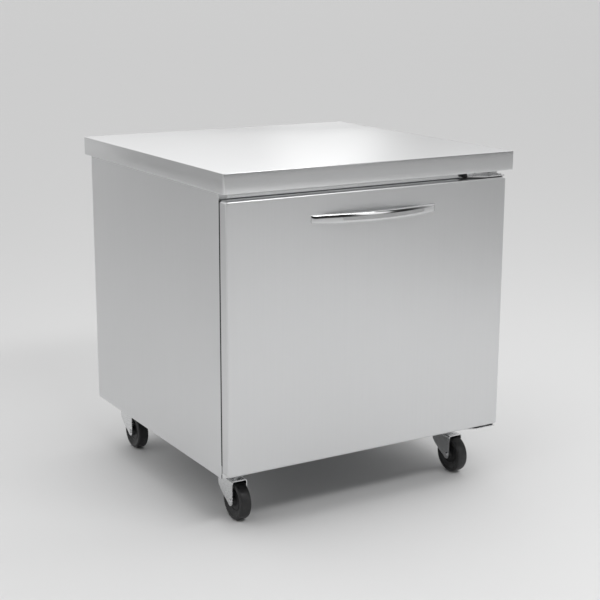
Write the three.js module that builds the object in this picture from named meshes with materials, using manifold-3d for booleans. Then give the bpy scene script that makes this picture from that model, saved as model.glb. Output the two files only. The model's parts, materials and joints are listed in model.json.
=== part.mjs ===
// Undercounter refrigerator on swivel casters: one full-height hinged door, a rear-mounted
// refrigeration unit and a flat work top. Millimetres, +Z up, the door faces -Y, +X is to the
// right of someone who stands in front of it. The origin is on the floor, under the middle.
import * as THREE from "three";
import { mergeVertices } from "three/addons/utils/BufferGeometryUtils.js";
import Module from "manifold-3d";

const wasm = await Module();
wasm.setup();

// ---- Driving dimensions ------------------------------------------------------------------

const seam = 0.3; // gap kept between two pieces that touch
const past = 1; // how far a cutter runs past what it cuts, and a joined piece into its neighbour
const running = 0.15; // radial clearance of a shaft that turns in a hole
const shaftFacets = 16;
const sheet = 1.2; // outer skins
const cabinet = { width: 789, depth: 735, height: 675 };
const wall = { side: 45, top: 45, floor: 45, bulkhead: 45 }; // insulated walls, skins included
const machineRoom = { depth: 187 };
const liner = { sheet: 1 };
const sideFlange = { front: 22, rear: 15 };
const topPanel = { lip: 20 };
const rearCover = { edge: 4 };
const worktop = { thickness: 47, sheet: 1.5, hem: 50, side: 12, front: 48, back: 17, corner: 4 };
const door = { gap: 7.5, thickness: 28.5, bottom: 10.6, top: 18, bend: 5 };
const gasket = { inset: 13, freeInset: 0.8, width: 14, sillGap: 1 };
const doorPlug = { clear: 20, depth: 10 };
const sill = { height: 31, hingeGap: 4 };
const handle = { length: 350, height: 22, reach: 36, band: 12, end: 4, foot: 25, drop: 47 };
const hinge = {
  edge: 12, // pin axis to the door's side edge
  pin: 4,
  plate: 3,
  root: 12, // plate's depth at its left end
  topGap: 2.2, // plate to door
  lowGap: 4.5,
  length: 100,
  inset: 3, // bracket to the cabinet's side
  engage: 14,
  tipGap: 2, // pin's tip to the end of its bushing
  foamClear: 1,
  bush: 7,
  flange: 9,
  flangeClear: 0.7, // bushing's flange to the plate
  margin: 1, // plate beyond the bushing's flange
  wing: 50, // pin axis to where the plate begins to narrow
  legTop: 2, // upper leg's end to the cabinet's top
  head: 6.5,
  headThickness: 2,
  footGap: 10, // foot to the caster's plate
};
const stopBlock = { width: 8, depth: 13, height: 14.5, gap: 2 };
const caster = {
  height: 134,
  fromSide: 71.5, // kingpin to the cabinet's side
  fromFront: 86.6, // kingpin to the cabinet's front
  fromBack: 60,
  plate: 62,
  plateThickness: 4,
  neck: 19,
  kingpin: 6,
  head: 10,
  headThickness: 3,
};
const fork = { wheelClear: 2.5, sheet: 2.5, width: 41, front: 44, rear: 28, shoulder: 25, tip: 12 };
const wheel = {
  radius: 48,
  tread: 30,
  hub: 34,
  trail: 32,
  axle: 4,
  hubRadius: 13,
  rim: 37,
  edge: 5,
  dish: 5,
  taper: 2,
  facets: 20,
};
const boltHead = { radius: 7, thickness: 4 };
const shelf = {
  frontGap: 30,
  rearGap: 8,
  rim: 3.2,
  crossBar: 2.9,
  wire: 1.8,
  wires: 13,
  lower: 150,
  upper: 350,
};
const pilaster = { width: 20, thickness: 7, sheet: 1.5, end: 14, fromShelfEnd: 50 };
const clip = { reach: 14, height: 9, sideGap: 3, inset: 3 };
const evaporator = {
  cover: 95,
  sideGap: 69.5,
  height: 250,
  coil: 34,
  coilEnd: 45,
  coilHeight: 200,
  coilGap: 4,
  finGroups: 16,
};
const intake = { // slots in its cover
  rows: 5,
  height: 9,
  pitch: 28,
  bottom: 60,
  fromKnob: 85,
  fromFan: 110,
};
const coolFan = {
  fromEnd: 150,
  fromCeiling: 122,
  opening: 72,
  tipGap: 6,
  setBack: 2,
  motor: 26,
  motorLength: 30,
};
const knob = { fromEnd: 65, radius: 17, depth: 14, grip: 4, stem: 3.5, stemLength: 12 };
const hotFan = { opening: 96, tipGap: 8, proud: 4, motor: 30, motorLength: 38 };
const blade = {
  count: 4,
  thickness: 1.6,
  pitch: 24,
  root: 9, // half of its width at the hub
  sunk: 4,
  hub: 15,
  hubLength: 18,
  shaft: 4,
  shaftGap: 2, // shaft's tip to the hub's end
  motorGap: 5,
};
const strap = { width: 12, thickness: 2, foot: 3, beyond: 8, setBack: 6 };
const groove = { share: 0.4, depth: 4, border: 6 }; // between the fin groups of a coil
const condenser = {
  fromSide: 194.5,
  bottom: 62,
  width: 270,
  height: 240,
  depth: 46,
  fromCover: 12,
  shroud: 30,
  finGroups: 12,
};
const condenserLeg = { inset: 15, width: 20, margin: 5 };
const compressor = {
  fromSide: 226.5,
  radius: 64,
  height: 176,
  lift: 3, // can to the underside of its foot
  dome: 0.32, // height of a domed end as a share of the radius
  neck: 9,
  neckLength: 36,
  ports: 68,
  portRise: 6,
};
const compressorFoot = { width: 202, depth: 136, thickness: 4 };
const terminalCover = { width: 44, height: 56, sunk: 12, reach: 10 };
const compressorBase = { width: 210, depth: 150, thickness: 3, grommet: 9, grommetHeight: 14, inset: 18 };
const drainPan = { fromMiddle: 12, width: 88, depth: 140, height: 42, wall: 1.5, lift: 3 };
const controlBox = {
  fromSide: 66.5,
  width: 92,
  depth: 80,
  height: 150,
  bottom: 260,
  lid: 14,
  lidLine: 2,
  score: 1.5, // depth of the line round the lid
};
const inlet = {
  fromSide: 94.5,
  fromTop: 66,
  width: 28,
  height: 22,
  flange: 10, // each side
  flangeRise: 4, // above and below
  flangeThickness: 2.5,
  depth: 22,
};
const socket = { wall: 2.5, depth: 15, pinPitch: 7, pinWidth: 2, pinHeight: 5, pinRecess: 3 };
const louvre = { columns: 3, rows: 8, length: 190, height: 6, pitch: 26, bottom: 70, spacing: 230 };
const drain = { radius: 6, fromCover: 12, intoCover: 12, intoPan: 12, fromWall: 44 };
const line = {
  suction: 5,
  liquid: 3.5,
  discharge: 4.5,
  holeClear: 2.5,
  bend: 16,
  rise: 44,
  fromWall: 28, // from the bulkhead, on the machine side
  insideWall: 20, // from the bulkhead, on the cold side
  underCondenserTop: 20,
  dischargeUnderTop: 50,
  dischargeFromDrier: 10,
};
const crossing = { suctionFromCoil: 34, suctionFromCeiling: 60, liquidFromCoil: 20, liquidFromCeiling: 150 };
const drier = { radius: 13, length: 90, fromCondenser: 14, overCondenser: 40 };

// ---- Places worked out from them ---------------------------------------------------------

const half = cabinet.width / 2;
const doorReach = door.gap + door.thickness;
const overallDepth = doorReach + handle.reach + cabinet.depth + worktop.back;
const face = doorReach + handle.reach - overallDepth / 2; // plane of the cabinet's front
const back = face + cabinet.depth;
const bottom = caster.height;
const top = bottom + cabinet.height;
const shellTop = top - seam;
const cavity = {
  half: half - wall.side,
  floor: bottom + wall.floor,
  ceiling: top - wall.top,
  back: back - machineRoom.depth - wall.bulkhead,
};
const machineFront = cavity.back + wall.bulkhead;
const innerHalf = half - sheet - seam; // inside the side skins
const baseTop = bottom + sheet;
const doorBack = face - door.gap;
const doorFront = doorBack - door.thickness;
const doorBottom = bottom + door.bottom;
const doorTop = top - door.top;
const pivot = new THREE.Vector3(half - hinge.edge, doorBack - door.thickness / 2, 0);
const sillTop = bottom + sill.height;
const bracket = [half - hinge.inset - hinge.length, half - hinge.inset];
const coverFront = cavity.back - evaporator.cover;
const coverBottom = cavity.ceiling - evaporator.height;
const evaporatorHalf = cavity.half - evaporator.sideGap;
const coilRight = evaporatorHalf - evaporator.coilEnd;
const coolAxis = new THREE.Vector3(evaporatorHalf - coolFan.fromEnd, 0, cavity.ceiling - coolFan.fromCeiling);
const knobX = -evaporatorHalf + knob.fromEnd;
const crownTop = 2 * wheel.radius + fork.wheelClear + fork.sheet;
const rearSkin = back + seam; // front plane of the rear cover
const condenserBack = back - sheet - condenser.fromCover;
const condenserFront = condenserBack - condenser.depth;
const shroudFront = condenserFront - seam - condenser.shroud;
const condenserBottom = bottom + condenser.bottom;
const condenserTop = condenserBottom + condenser.height;
const condenserX = -half + condenser.fromSide;
const hotAxis = new THREE.Vector3(condenserX, 0, condenserBottom + condenser.height / 2);
const machineMiddle = (machineFront + back) / 2;

// ---- Solids ------------------------------------------------------------------------------

// A closed geometry as a manifold-3d solid, and back.
function toSolid(geometry) {
  const bare = geometry.clone();
  bare.deleteAttribute("normal");
  bare.deleteAttribute("uv");
  const merged = mergeVertices(bare, 1e-4);
  return new wasm.Manifold(
    new wasm.Mesh({
      numProp: 3,
      vertProperties: merged.attributes.position.array,
      triVerts: new Uint32Array(merged.index.array),
    }),
  );
}

function toGeometry(solid) {
  const mesh = solid.getMesh();
  const geometry = new THREE.BufferGeometry();
  geometry.setAttribute("position", new THREE.BufferAttribute(mesh.vertProperties, 3));
  geometry.setIndex(new THREE.BufferAttribute(mesh.triVerts, 1));
  return geometry;
}

function join(first, ...others) {
  let solid = toSolid(first);
  for (const other of others) solid = solid.add(toSolid(other));
  return toGeometry(solid);
}

function cut(base, ...tools) {
  let solid = toSolid(base);
  for (const tool of tools) solid = solid.subtract(toSolid(tool));
  return toGeometry(solid);
}

// A box between two values on each axis.
function block([x0, x1], [y0, y1], [z0, z1]) {
  const box = new THREE.BoxGeometry(x1 - x0, y1 - y0, z1 - z0);
  return box.translate((x0 + x1) / 2, (y0 + y1) / 2, (z0 + z1) / 2);
}

const around = (middle, size) => [middle - size / 2, middle + size / 2];
const grow = ([low, high], by) => [low - by, high + by];

// A cylinder whose flats sit at the radius, along one axis, from one value to another on it.
function rod(axis, centre, [start, end], radius, facets = 12) {
  const outer = radius / Math.cos(Math.PI / facets);
  const cylinder = new THREE.CylinderGeometry(outer, outer, end - start, facets);
  cylinder.rotateY(Math.PI / facets);
  const middle = (start + end) / 2;
  if (axis === "x") return cylinder.rotateZ(-Math.PI / 2).translate(middle, centre.y, centre.z);
  if (axis === "y") return cylinder.translate(centre.x, middle, centre.z);
  return cylinder.rotateX(Math.PI / 2).translate(centre.x, centre.y, middle);
}

function outline(points) {
  return new THREE.Shape(points.map(([x, y]) => new THREE.Vector2(x, y)));
}

// An outline drawn in plan (x, y) raised along z.
function raised(shape, [low, high], options = {}) {
  const depth = high - low;
  return new THREE.ExtrudeGeometry(shape, { depth, bevelEnabled: false, ...options }).translate(0, 0, low);
}

// An outline drawn in front view (x, z) run along y.
function runAlongY(shape, [low, high]) {
  return raised(shape, [-high, -low]).rotateX(Math.PI / 2);
}

// An outline drawn in side view (y, z) run along x.
function runAlongX(shape, [low, high]) {
  const yzx = new THREE.Matrix4().set(0, 0, 1, 0, 1, 0, 0, 0, 0, 1, 0, 0, 0, 0, 0, 1);
  return raised(shape, [low, high], { curveSegments: 6 }).applyMatrix4(yzx);
}

function roundedOutline([x0, x1], [y0, y1], radius) {
  const shape = new THREE.Shape();
  shape.absarc(x1 - radius, y0 + radius, radius, -Math.PI / 2, 0);
  shape.absarc(x1 - radius, y1 - radius, radius, 0, Math.PI / 2);
  shape.absarc(x0 + radius, y1 - radius, radius, Math.PI / 2, Math.PI);
  shape.absarc(x0 + radius, y0 + radius, radius, Math.PI, 1.5 * Math.PI);
  return shape;
}

// A solid of revolution about the z axis through a point.
function turned(profile, centre, facets) {
  const points = profile.map(([radius, height]) => new THREE.Vector2(radius, height));
  const lathe = new THREE.LatheGeometry(points, facets).rotateX(Math.PI / 2);
  return lathe.translate(centre.x, centre.y, centre.z);
}

// Straight runs between corners, each corner rounded over the same length.
function routeThrough(corners, bend) {
  const points = corners.map((corner) => new THREE.Vector3(...corner));
  const route = new THREE.CurvePath();
  let from = points[0];
  for (let i = 1; i < points.length - 1; i += 1) {
    const corner = points[i];
    const enter = corner.clone().sub(points[i - 1]).setLength(bend).negate().add(corner);
    const leave = points[i + 1].clone().sub(corner).setLength(bend).add(corner);
    route.add(new THREE.LineCurve3(from, enter));
    route.add(new THREE.QuadraticBezierCurve3(enter, corner, leave));
    from = leave;
  }
  route.add(new THREE.LineCurve3(from, points[points.length - 1]));
  return route;
}

function tube(corners, radius, steps, facets = 6) {
  const section = new THREE.Shape();
  for (let i = 0; i < facets; i += 1) {
    const angle = (2 * Math.PI * i) / facets;
    const place = [radius * Math.cos(angle), radius * Math.sin(angle)];
    if (i === 0) section.moveTo(...place);
    else section.lineTo(...place);
  }
  const extrudePath = routeThrough(corners, line.bend);
  return new THREE.ExtrudeGeometry(section, { steps, bevelEnabled: false, extrudePath });
}

// ---- Scene graph -------------------------------------------------------------------------

const finishes = {
  stainless: { color: 0xc6c7c9, roughness: 0.34, metalness: 1 },
  galvanised: { color: 0xa9adb0, roughness: 0.5, metalness: 1 },
  chrome: { color: 0xe8eaec, roughness: 0.06, metalness: 1 },
  zinc: { color: 0xb4b7ba, roughness: 0.4, metalness: 1 },
  aluminium: { color: 0xd2d4d6, roughness: 0.42, metalness: 1 },
  copper: { color: 0xb87048, roughness: 0.35, metalness: 1 },
  blackPaint: { color: 0x1b1c1e, roughness: 0.5, metalness: 0.2 },
  blackPlastic: { color: 0x151617, roughness: 0.55, metalness: 0 },
  greyPlastic: { color: 0x8d9093, roughness: 0.5, metalness: 0 },
  whitePlastic: { color: 0xe9eaea, roughness: 0.4, metalness: 0 },
  rubber: { color: 0x17181a, roughness: 0.75, metalness: 0 },
  foam: { color: 0xe3d9b4, roughness: 0.9, metalness: 0 },
  timber: { color: 0xb79566, roughness: 0.8, metalness: 0 },
  epoxyWire: { color: 0xe4e6e7, roughness: 0.35, metalness: 0.1 },
};

const refrigerator = new THREE.Group();

function piece(name, finish, geometry, parent = refrigerator) {
  const mesh = new THREE.Mesh(geometry, new THREE.MeshStandardMaterial(finishes[finish]));
  mesh.name = name;
  parent.add(mesh);
  return mesh;
}

// A group whose frame sits on a joint's axis; pieces drawn in the main frame are set back by it.
function jointGroup(place, parent = refrigerator) {
  const group = new THREE.Group();
  group.position.copy(place);
  parent.add(group);
  return group;
}

function pieceOn(group, name, finish, geometry) {
  piece(name, finish, geometry, group).position.copy(group.position).negate();
}

// ---- Cabinet shell -----------------------------------------------------------------------

function makeWorktop() {
  const width = [-half - worktop.side, half + worktop.side];
  const depth = [face - worktop.front, back + worktop.back];
  const upper = top + worktop.thickness;
  const skin = -worktop.sheet;
  const pocket = [top + worktop.sheet, upper - worktop.sheet];
  const slab = raised(roundedOutline(width, depth, worktop.corner), [top, upper], { curveSegments: 4 });
  const inside = block(grow(width, skin), grow(depth, skin), pocket);
  const mouthHeight = [top - past, top + 2 * worktop.sheet];
  const mouth = block(grow(width, -worktop.hem), grow(depth, -worktop.hem), mouthHeight);
  piece("worktop", "stainless", cut(slab, inside, mouth));
  const core = block(grow(width, skin - seam), grow(depth, skin - seam), grow(pocket, -seam));
  piece("worktop_core", "timber", core);
}

function makeSidePanels() {
  const skin = outline([
    [half, face],
    [half, back],
    [half - sideFlange.rear, back],
    [half - sideFlange.rear, back - sheet],
    [half - sheet, back - sheet],
    [half - sheet, face + sheet],
    [half - sideFlange.front, face + sheet],
    [half - sideFlange.front, face],
  ]);
  const panel = raised(skin, [bottom, shellTop]);
  piece("right_side_panel", "stainless", panel);
  piece("left_side_panel", "stainless", panel).scale.x = -1;
}

function makeBaseAndTop() {
  const front = face + sheet + seam;
  const rear = back - sheet - seam;
  const width = [-innerHalf, innerHalf];
  piece("base_plate", "galvanised", block(width, [front, rear], [bottom, baseTop]));
  const lid = outline([
    [front, shellTop - sheet],
    [rear - sheet, shellTop - sheet],
    [rear - sheet, shellTop - topPanel.lip],
    [rear, shellTop - topPanel.lip],
    [rear, shellTop],
    [front, shellTop],
  ]);
  piece("top_panel", "galvanised", runAlongX(lid, width));
}

function makeFaceFrame() {
  const width = [-half + sideFlange.front + seam, half - sideFlange.front - seam];
  const frame = block(width, [face, face + sheet], [bottom, shellTop]);
  const throughFrame = grow([face, face + sheet], past);
  const opening = block([-cavity.half, cavity.half], throughFrame, [cavity.floor, cavity.ceiling]);
  piece("face_frame", "stainless", cut(frame, opening));
  const depth = [face - door.gap + 2 * seam, face - seam];
  piece("front_sill", "stainless", block([-half, bracket[0] - sill.hingeGap], depth, [bottom, sillTop]));
}

// Tubes that cross the bulkhead: centre (x, z) and radius.
const crossings = {
  suction: {
    x: coilRight + crossing.suctionFromCoil,
    z: cavity.ceiling - crossing.suctionFromCeiling,
    radius: line.suction,
  },
  liquid: {
    x: coilRight + crossing.liquidFromCoil,
    z: cavity.ceiling - crossing.liquidFromCeiling,
    radius: line.liquid,
  },
  drain: { x: drainPan.fromMiddle, z: coverBottom + drain.fromCover, radius: drain.radius },
};

function makeLinerAndInsulation() {
  const width = [-cavity.half, cavity.half];
  const height = [cavity.floor, cavity.ceiling];
  const front = face + sheet + seam;
  const holes = Object.values(crossings).map(({ x, z, radius }) =>
    rod("y", { x, z }, grow([cavity.back, machineFront], 5 * past), radius + line.holeClear, 8),
  );
  const shellDepth = [front, cavity.back + liner.sheet];
  const shell = block(grow(width, liner.sheet), shellDepth, grow(height, liner.sheet));
  const room = block(width, [front - past, cavity.back], height);
  piece("inner_liner", "aluminium", cut(shell, room, ...holes));
  const body = block(
    [-innerHalf, innerHalf],
    [front, machineFront],
    [baseTop + seam, shellTop - sheet - seam],
  );
  const clear = liner.sheet + seam;
  const hollow = block(grow(width, clear), [front - past, cavity.back + clear], grow(height, clear));
  piece("insulation", "foam", cut(body, hollow, ...holes));
}

function makeRearCover() {
  const { edge } = rearCover;
  const depth = [rearSkin, rearSkin + sheet];
  const plate = block(grow([-half, half], -edge), depth, grow([bottom, shellTop], -edge));
  const slots = [];
  for (let column = 0; column < louvre.columns; column += 1) {
    const x = (column - (louvre.columns - 1) / 2) * louvre.spacing;
    for (let row = 0; row < louvre.rows; row += 1) {
      const z = bottom + louvre.bottom + louvre.height / 2 + row * louvre.pitch;
      slots.push(block(around(x, louvre.length), grow(depth, past), around(z, louvre.height)));
    }
  }
  piece("rear_cover", "galvanised", cut(plate, ...slots, inletHole(seam)));
}

// ---- Power inlet -------------------------------------------------------------------------

const inletX = around(half - inlet.fromSide, inlet.width);
const inletZ = around(top - inlet.fromTop, inlet.height);

function inletHole(clearance) {
  return block(grow(inletX, clearance), grow([rearSkin, rearSkin + sheet], past), grow(inletZ, clearance));
}

function makePowerInlet() {
  const flangeBack = rearSkin + sheet + seam;
  const flangeDepth = [flangeBack, flangeBack + inlet.flangeThickness];
  const flange = block(grow(inletX, inlet.flange), flangeDepth, grow(inletZ, inlet.flangeRise));
  const body = block(inletX, [flangeBack - inlet.depth, flangeBack + past], inletZ);
  const mouth = [flangeBack - socket.depth, flangeBack + 2 * inlet.flangeThickness];
  const well = block(grow(inletX, -socket.wall), mouth, grow(inletZ, -socket.wall));
  const pinDepth = [flangeBack - socket.depth - past, flangeBack - socket.pinRecess];
  const pins = [-1, 0, 1].map((place) => {
    const x = (inletX[0] + inletX[1]) / 2 + place * socket.pinPitch;
    const z = (inletZ[0] + inletZ[1]) / 2 + (place === 0 ? 0.6 : -0.4) * socket.pinHeight;
    return block(around(x, socket.pinWidth), pinDepth, around(z, socket.pinHeight));
  });
  piece("power_inlet", "blackPlastic", join(cut(join(flange, body), well), ...pins));
}

// ---- Door --------------------------------------------------------------------------------

function makeDoor() {
  const leaf = jointGroup(pivot);
  const width = [-half, half];
  const height = [doorBottom, doorTop];
  const inside = grow(width, -sheet);
  const insideHeight = grow(height, -sheet);
  const plan = new THREE.Shape();
  plan.moveTo(-half, doorBack);
  plan.absarc(-half + door.bend, doorFront + door.bend, door.bend, Math.PI, 1.5 * Math.PI);
  plan.absarc(half - door.bend, doorFront + door.bend, door.bend, -Math.PI / 2, 0);
  plan.lineTo(half, doorBack);
  const well = rod("z", pivot, grow(height, past), hinge.bush + seam);
  const slab = raised(plan, height, { curveSegments: 4 });
  const hollow = block(inside, [doorFront + sheet, doorBack + 1], insideHeight);
  pieceOn(leaf, "door_outer_panel", "stainless", cut(slab, hollow, well));

  const linerFront = doorBack - liner.sheet;
  const foamDepth = [doorFront + sheet + seam, linerFront - seam];
  const foam = block(grow(inside, -door.bend), foamDepth, grow(insideHeight, -seam));
  const deepWell = hinge.engage + 4 * hinge.foamClear;
  const wells = [
    rod("z", pivot, [doorBottom - past, doorBottom + deepWell], hinge.bush + hinge.foamClear),
    rod("z", pivot, [doorTop - deepWell, doorTop + past], hinge.bush + hinge.foamClear),
  ];
  pieceOn(leaf, "door_insulation", "foam", cut(foam, ...wells));

  const plate = block(grow(inside, -seam), [linerFront, doorBack], grow(insideHeight, -seam));
  const plugHalf = cavity.half - doorPlug.clear;
  const plug = block(
    [-plugHalf, plugHalf],
    [doorBack - liner.sheet, face + doorPlug.depth],
    [cavity.floor + doorPlug.clear, cavity.ceiling - doorPlug.clear],
  );
  pieceOn(leaf, "door_liner", "whitePlastic", join(plate, plug));

  const gasketOuter = [
    [-half + gasket.freeInset, half - gasket.inset],
    [sillTop + gasket.sillGap, doorTop - gasket.freeInset],
  ];
  const depth = [doorBack + seam, face - seam];
  const ring = block(gasketOuter[0], depth, gasketOuter[1]);
  const gasketInner = gasketOuter.map((range) => grow(range, -gasket.width));
  const middle = block(gasketInner[0], grow(depth, past), gasketInner[1]);
  pieceOn(leaf, "door_gasket", "rubber", cut(ring, middle));

  pieceOn(leaf, "door_handle", "chrome", handleShape());
  const seat = { low: doorBottom - seam, high: doorTop + seam };
  pieceOn(leaf, "top_hinge_bushing", "blackPlastic", bushing(seat.high, 1, hinge.topGap));
  pieceOn(leaf, "bottom_hinge_bushing", "blackPlastic", bushing(seat.low, -1, hinge.lowGap));
}

// A bow pull: two arcs in plan, closer together at the ends, with a flat foot at each end.
function handleShape() {
  const halfLength = handle.length / 2;
  const innerHalfLength = halfLength - handle.foot;
  const plane = doorFront - seam;
  const outer = arcPoints(halfLength, handle.reach - handle.end - seam, -handle.end, 24);
  const inner = arcPoints(innerHalfLength, handle.reach - handle.band, 0, 20);
  const points = [[-halfLength, 0], ...outer, [halfLength, 0], ...inner.reverse()];
  const plan = outline(points.map(([x, y]) => [x, plane + y]));
  const upper = doorTop - handle.drop;
  return raised(plan, [upper - handle.height, upper]);
}

// Points of an arc across a chord, bulging towards -y from a base line.
function arcPoints(halfChord, rise, base, steps) {
  const radius = (halfChord ** 2 + rise ** 2) / (2 * rise);
  const points = [];
  for (let i = 0; i <= steps; i += 1) {
    const x = halfChord * (-1 + (2 * i) / steps);
    const depth = Math.sqrt(radius ** 2 - x ** 2) - (radius - rise);
    points.push([x, base - depth]);
  }
  return points;
}

// A flanged sleeve let into the door's end at the pin; up is 1 at the door's top, -1 at its bottom.
function bushing(seatHeight, up, gap) {
  const sleeve = rod("z", pivot, ordered(seatHeight, seatHeight - up * hinge.engage), hinge.bush);
  const flangeTop = seatHeight + up * (gap - hinge.flangeClear);
  const flange = rod("z", pivot, ordered(seatHeight, flangeTop), hinge.flange);
  const boreRange = around(seatHeight, 3 * hinge.engage);
  const bore = rod("z", pivot, boreRange, hinge.pin + running, shaftFacets);
  return cut(join(sleeve, flange), bore);
}

const ordered = (a, b) => [Math.min(a, b), Math.max(a, b)];

function makeHinges() {
  const [left, right] = bracket;
  const reach = pivot.y - hinge.flange - hinge.margin;
  const plateRear = face - seam;
  const plan = outline([
    [left, plateRear],
    [left, plateRear - hinge.root],
    [pivot.x - hinge.wing, reach],
    [right, reach],
    [right, plateRear],
  ]);
  const topPlate = [doorTop + hinge.topGap, doorTop + hinge.topGap + hinge.plate];
  const legDepth = [plateRear - hinge.plate, plateRear];
  const topLeg = block([left, right], legDepth, [topPlate[0], shellTop - hinge.legTop]);
  const bore = rod("z", pivot, [0, top], hinge.pin + seam / 2, shaftFacets);
  piece("top_hinge_bracket", "zinc", cut(join(raised(plan, topPlate), topLeg), bore));
  const pinDepth = hinge.engage - hinge.tipGap;
  piece("top_hinge_pin", "zinc", hingePin(topPlate[1] + seam, doorTop - pinDepth, 1));

  const lowPlate = [doorBottom - hinge.lowGap - hinge.plate, doorBottom - hinge.lowGap];
  const footTop = bottom - seam;
  const leg = block([left, right], legDepth, [footTop - hinge.plate, lowPlate[1]]);
  const footRear = face + caster.fromFront - caster.plate / 2 - hinge.footGap;
  const foot = block([left, right], [plateRear - hinge.plate, footRear], [footTop - hinge.plate, footTop]);
  piece("bottom_hinge_bracket", "zinc", cut(join(raised(plan, lowPlate), leg, foot), bore));
  piece("bottom_hinge_pin", "zinc", hingePin(lowPlate[0] - seam, doorBottom + pinDepth, -1));

  const blockRight = left - stopBlock.gap;
  const stop = block(
    [blockRight - stopBlock.width, blockRight],
    [plateRear - stopBlock.depth, plateRear],
    [topPlate[0], topPlate[0] + stopBlock.height],
  );
  piece("hinge_stop_block", "blackPlastic", stop);
}

// A headed pin whose head rests on the outer side of its bracket; up is 1 for the upper one.
function hingePin(headSeat, tip, up) {
  const shank = rod("z", pivot, ordered(headSeat, tip), hinge.pin, shaftFacets);
  const head = rod("z", pivot, ordered(headSeat, headSeat + up * hinge.headThickness), hinge.head);
  return join(shank, head);
}

// ---- Casters -----------------------------------------------------------------------------

function makeCaster(corner, x, y) {
  const mount = jointGroup(new THREE.Vector3(x, y, 0));
  const centre = { x: 0, y: 0, z: 0 };
  const plateTop = bottom - seam;
  const plateBottom = plateTop - caster.plateThickness;
  const crown = [crownTop - fork.sheet, crownTop];
  const square = around(0, caster.plate);
  const plate = block(square, square, [plateBottom, plateTop]);
  const neck = rod("z", centre, [crown[1] + seam, plateBottom + past], caster.neck, 20);
  const kingpin = rod("z", centre, grow(grow(crown, seam), past), caster.kingpin, shaftFacets);
  const head = rod("z", centre, [crown[0] - seam - caster.headThickness, crown[0] - seam], caster.head);
  piece("caster_plate_" + corner, "zinc", join(plate, neck, kingpin, head), mount);

  const swivel = jointGroup(centre, mount);
  piece("caster_fork_" + corner, "zinc", forkShape(crown), swivel);

  const hub = jointGroup(new THREE.Vector3(0, -wheel.trail, wheel.radius), swivel);
  piece("caster_wheel_" + corner, "rubber", wheelShape(), hub);
}

// A bent yoke: two cheeks that narrow to a round tip at the axle, a crown, and the axle bolt.
function forkShape(crown) {
  const axle = { x: 0, y: -wheel.trail, z: wheel.radius };
  const cheek = new THREE.Shape();
  cheek.moveTo(-fork.front, crown[1]);
  cheek.lineTo(-fork.front, axle.z);
  cheek.absarc(axle.y, axle.z, fork.tip, Math.PI, 1.8 * Math.PI);
  cheek.lineTo(fork.rear, crown[1] - fork.shoulder);
  cheek.lineTo(fork.rear, crown[1]);
  const yoke = runAlongX(cheek, around(0, fork.width));
  const slot = block(
    around(0, fork.width - 2 * fork.sheet),
    grow([-fork.front, fork.rear], past),
    [0, crown[0]],
  );
  const kingpinHole = rod("z", { x: 0, y: 0 }, grow(crown, past), caster.kingpin + running, shaftFacets);
  const bolt = rod("x", axle, around(0, fork.width + boltHead.thickness), wheel.axle, shaftFacets);
  const ends = [-1, 1].map((side) => {
    const range = ordered(side * (fork.width / 2 - past), side * (fork.width / 2 + boltHead.thickness));
    return rod("x", axle, range, boltHead.radius, 6);
  });
  return join(cut(yoke, slot, kingpinHole), bolt, ...ends);
}

// A wheel with a rounded tread, dished faces and a plain bore, turned about x.
function wheelShape() {
  const flats = Math.cos(Math.PI / wheel.facets);
  const radius = wheel.radius / flats;
  const bore = (wheel.axle + running) / flats;
  const treadHalf = wheel.tread / 2;
  const hubHalf = wheel.hub / 2;
  const dish = treadHalf - wheel.dish;
  const side = [
    [bore, hubHalf],
    [wheel.hubRadius, hubHalf],
    [wheel.hubRadius + wheel.taper, dish],
    [wheel.rim - wheel.taper, dish],
    [wheel.rim, treadHalf],
    [radius - wheel.edge, treadHalf],
    [radius, treadHalf - wheel.edge],
  ];
  const otherSide = side.map(([r, x]) => [r, -x]).reverse();
  const profile = [...otherSide, ...side].reverse();
  const points = [...profile, profile[0]].map(([r, x]) => new THREE.Vector2(r, x));
  const lathe = new THREE.LatheGeometry(points, wheel.facets);
  return lathe.rotateY(Math.PI / wheel.facets).rotateZ(-Math.PI / 2);
}

// ---- Shelves and their supports ----------------------------------------------------------

const shelfDepth = [face + shelf.frontGap, coverFront - shelf.rearGap];
const clipInner = cavity.half - seam - pilaster.thickness - clip.sideGap;
const shelfHalf = clipInner - shelf.rim;

function makeShelf(name, height) {
  const { rim, crossBar, wire } = shelf;
  const group = jointGroup(new THREE.Vector3(0, 0, cavity.floor + height + seam + rim));
  const [front, rear] = [shelfDepth[0] + rim, shelfDepth[1] - rim];
  const bars = [-1, 1].map((side) =>
    rod("y", { x: side * shelfHalf, z: 0 }, grow([front, rear], rim * 0.37), rim, 8),
  );
  for (const y of [front, (front + rear) / 2, rear]) {
    bars.push(rod("x", { y, z: 0 }, grow([-shelfHalf, shelfHalf], rim * 0.31), crossBar, 6));
  }
  for (let i = 1; i <= shelf.wires; i += 1) {
    const x = shelfHalf * (-1 + (2 * i) / (shelf.wires + 1));
    bars.push(rod("y", { x, z: crossBar + wire * 0.47 }, grow([front, rear], rim * 0.23), wire, 4));
  }
  piece(name, "epoxyWire", join(...bars), group);
}

function makePilaster(name, side, y) {
  const outer = cavity.half - seam;
  const inner = outer - pilaster.thickness;
  const depth = around(y, pilaster.width);
  const strip = block([inner, outer], depth, grow([cavity.floor, cavity.ceiling], -pilaster.end));
  const channelHeight = grow([cavity.floor, cavity.ceiling], past - pilaster.end);
  const channel = block([inner + pilaster.sheet, outer + past], grow(depth, -pilaster.sheet), channelHeight);
  const clips = [shelf.lower, shelf.upper].map((height) => {
    const under = cavity.floor + height;
    return block([inner - clip.reach, inner + past], grow(depth, -clip.inset), [under - clip.height, under]);
  });
  const mesh = piece(name, "aluminium", join(cut(strip, channel), ...clips));
  mesh.scale.x = side;
}

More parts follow.
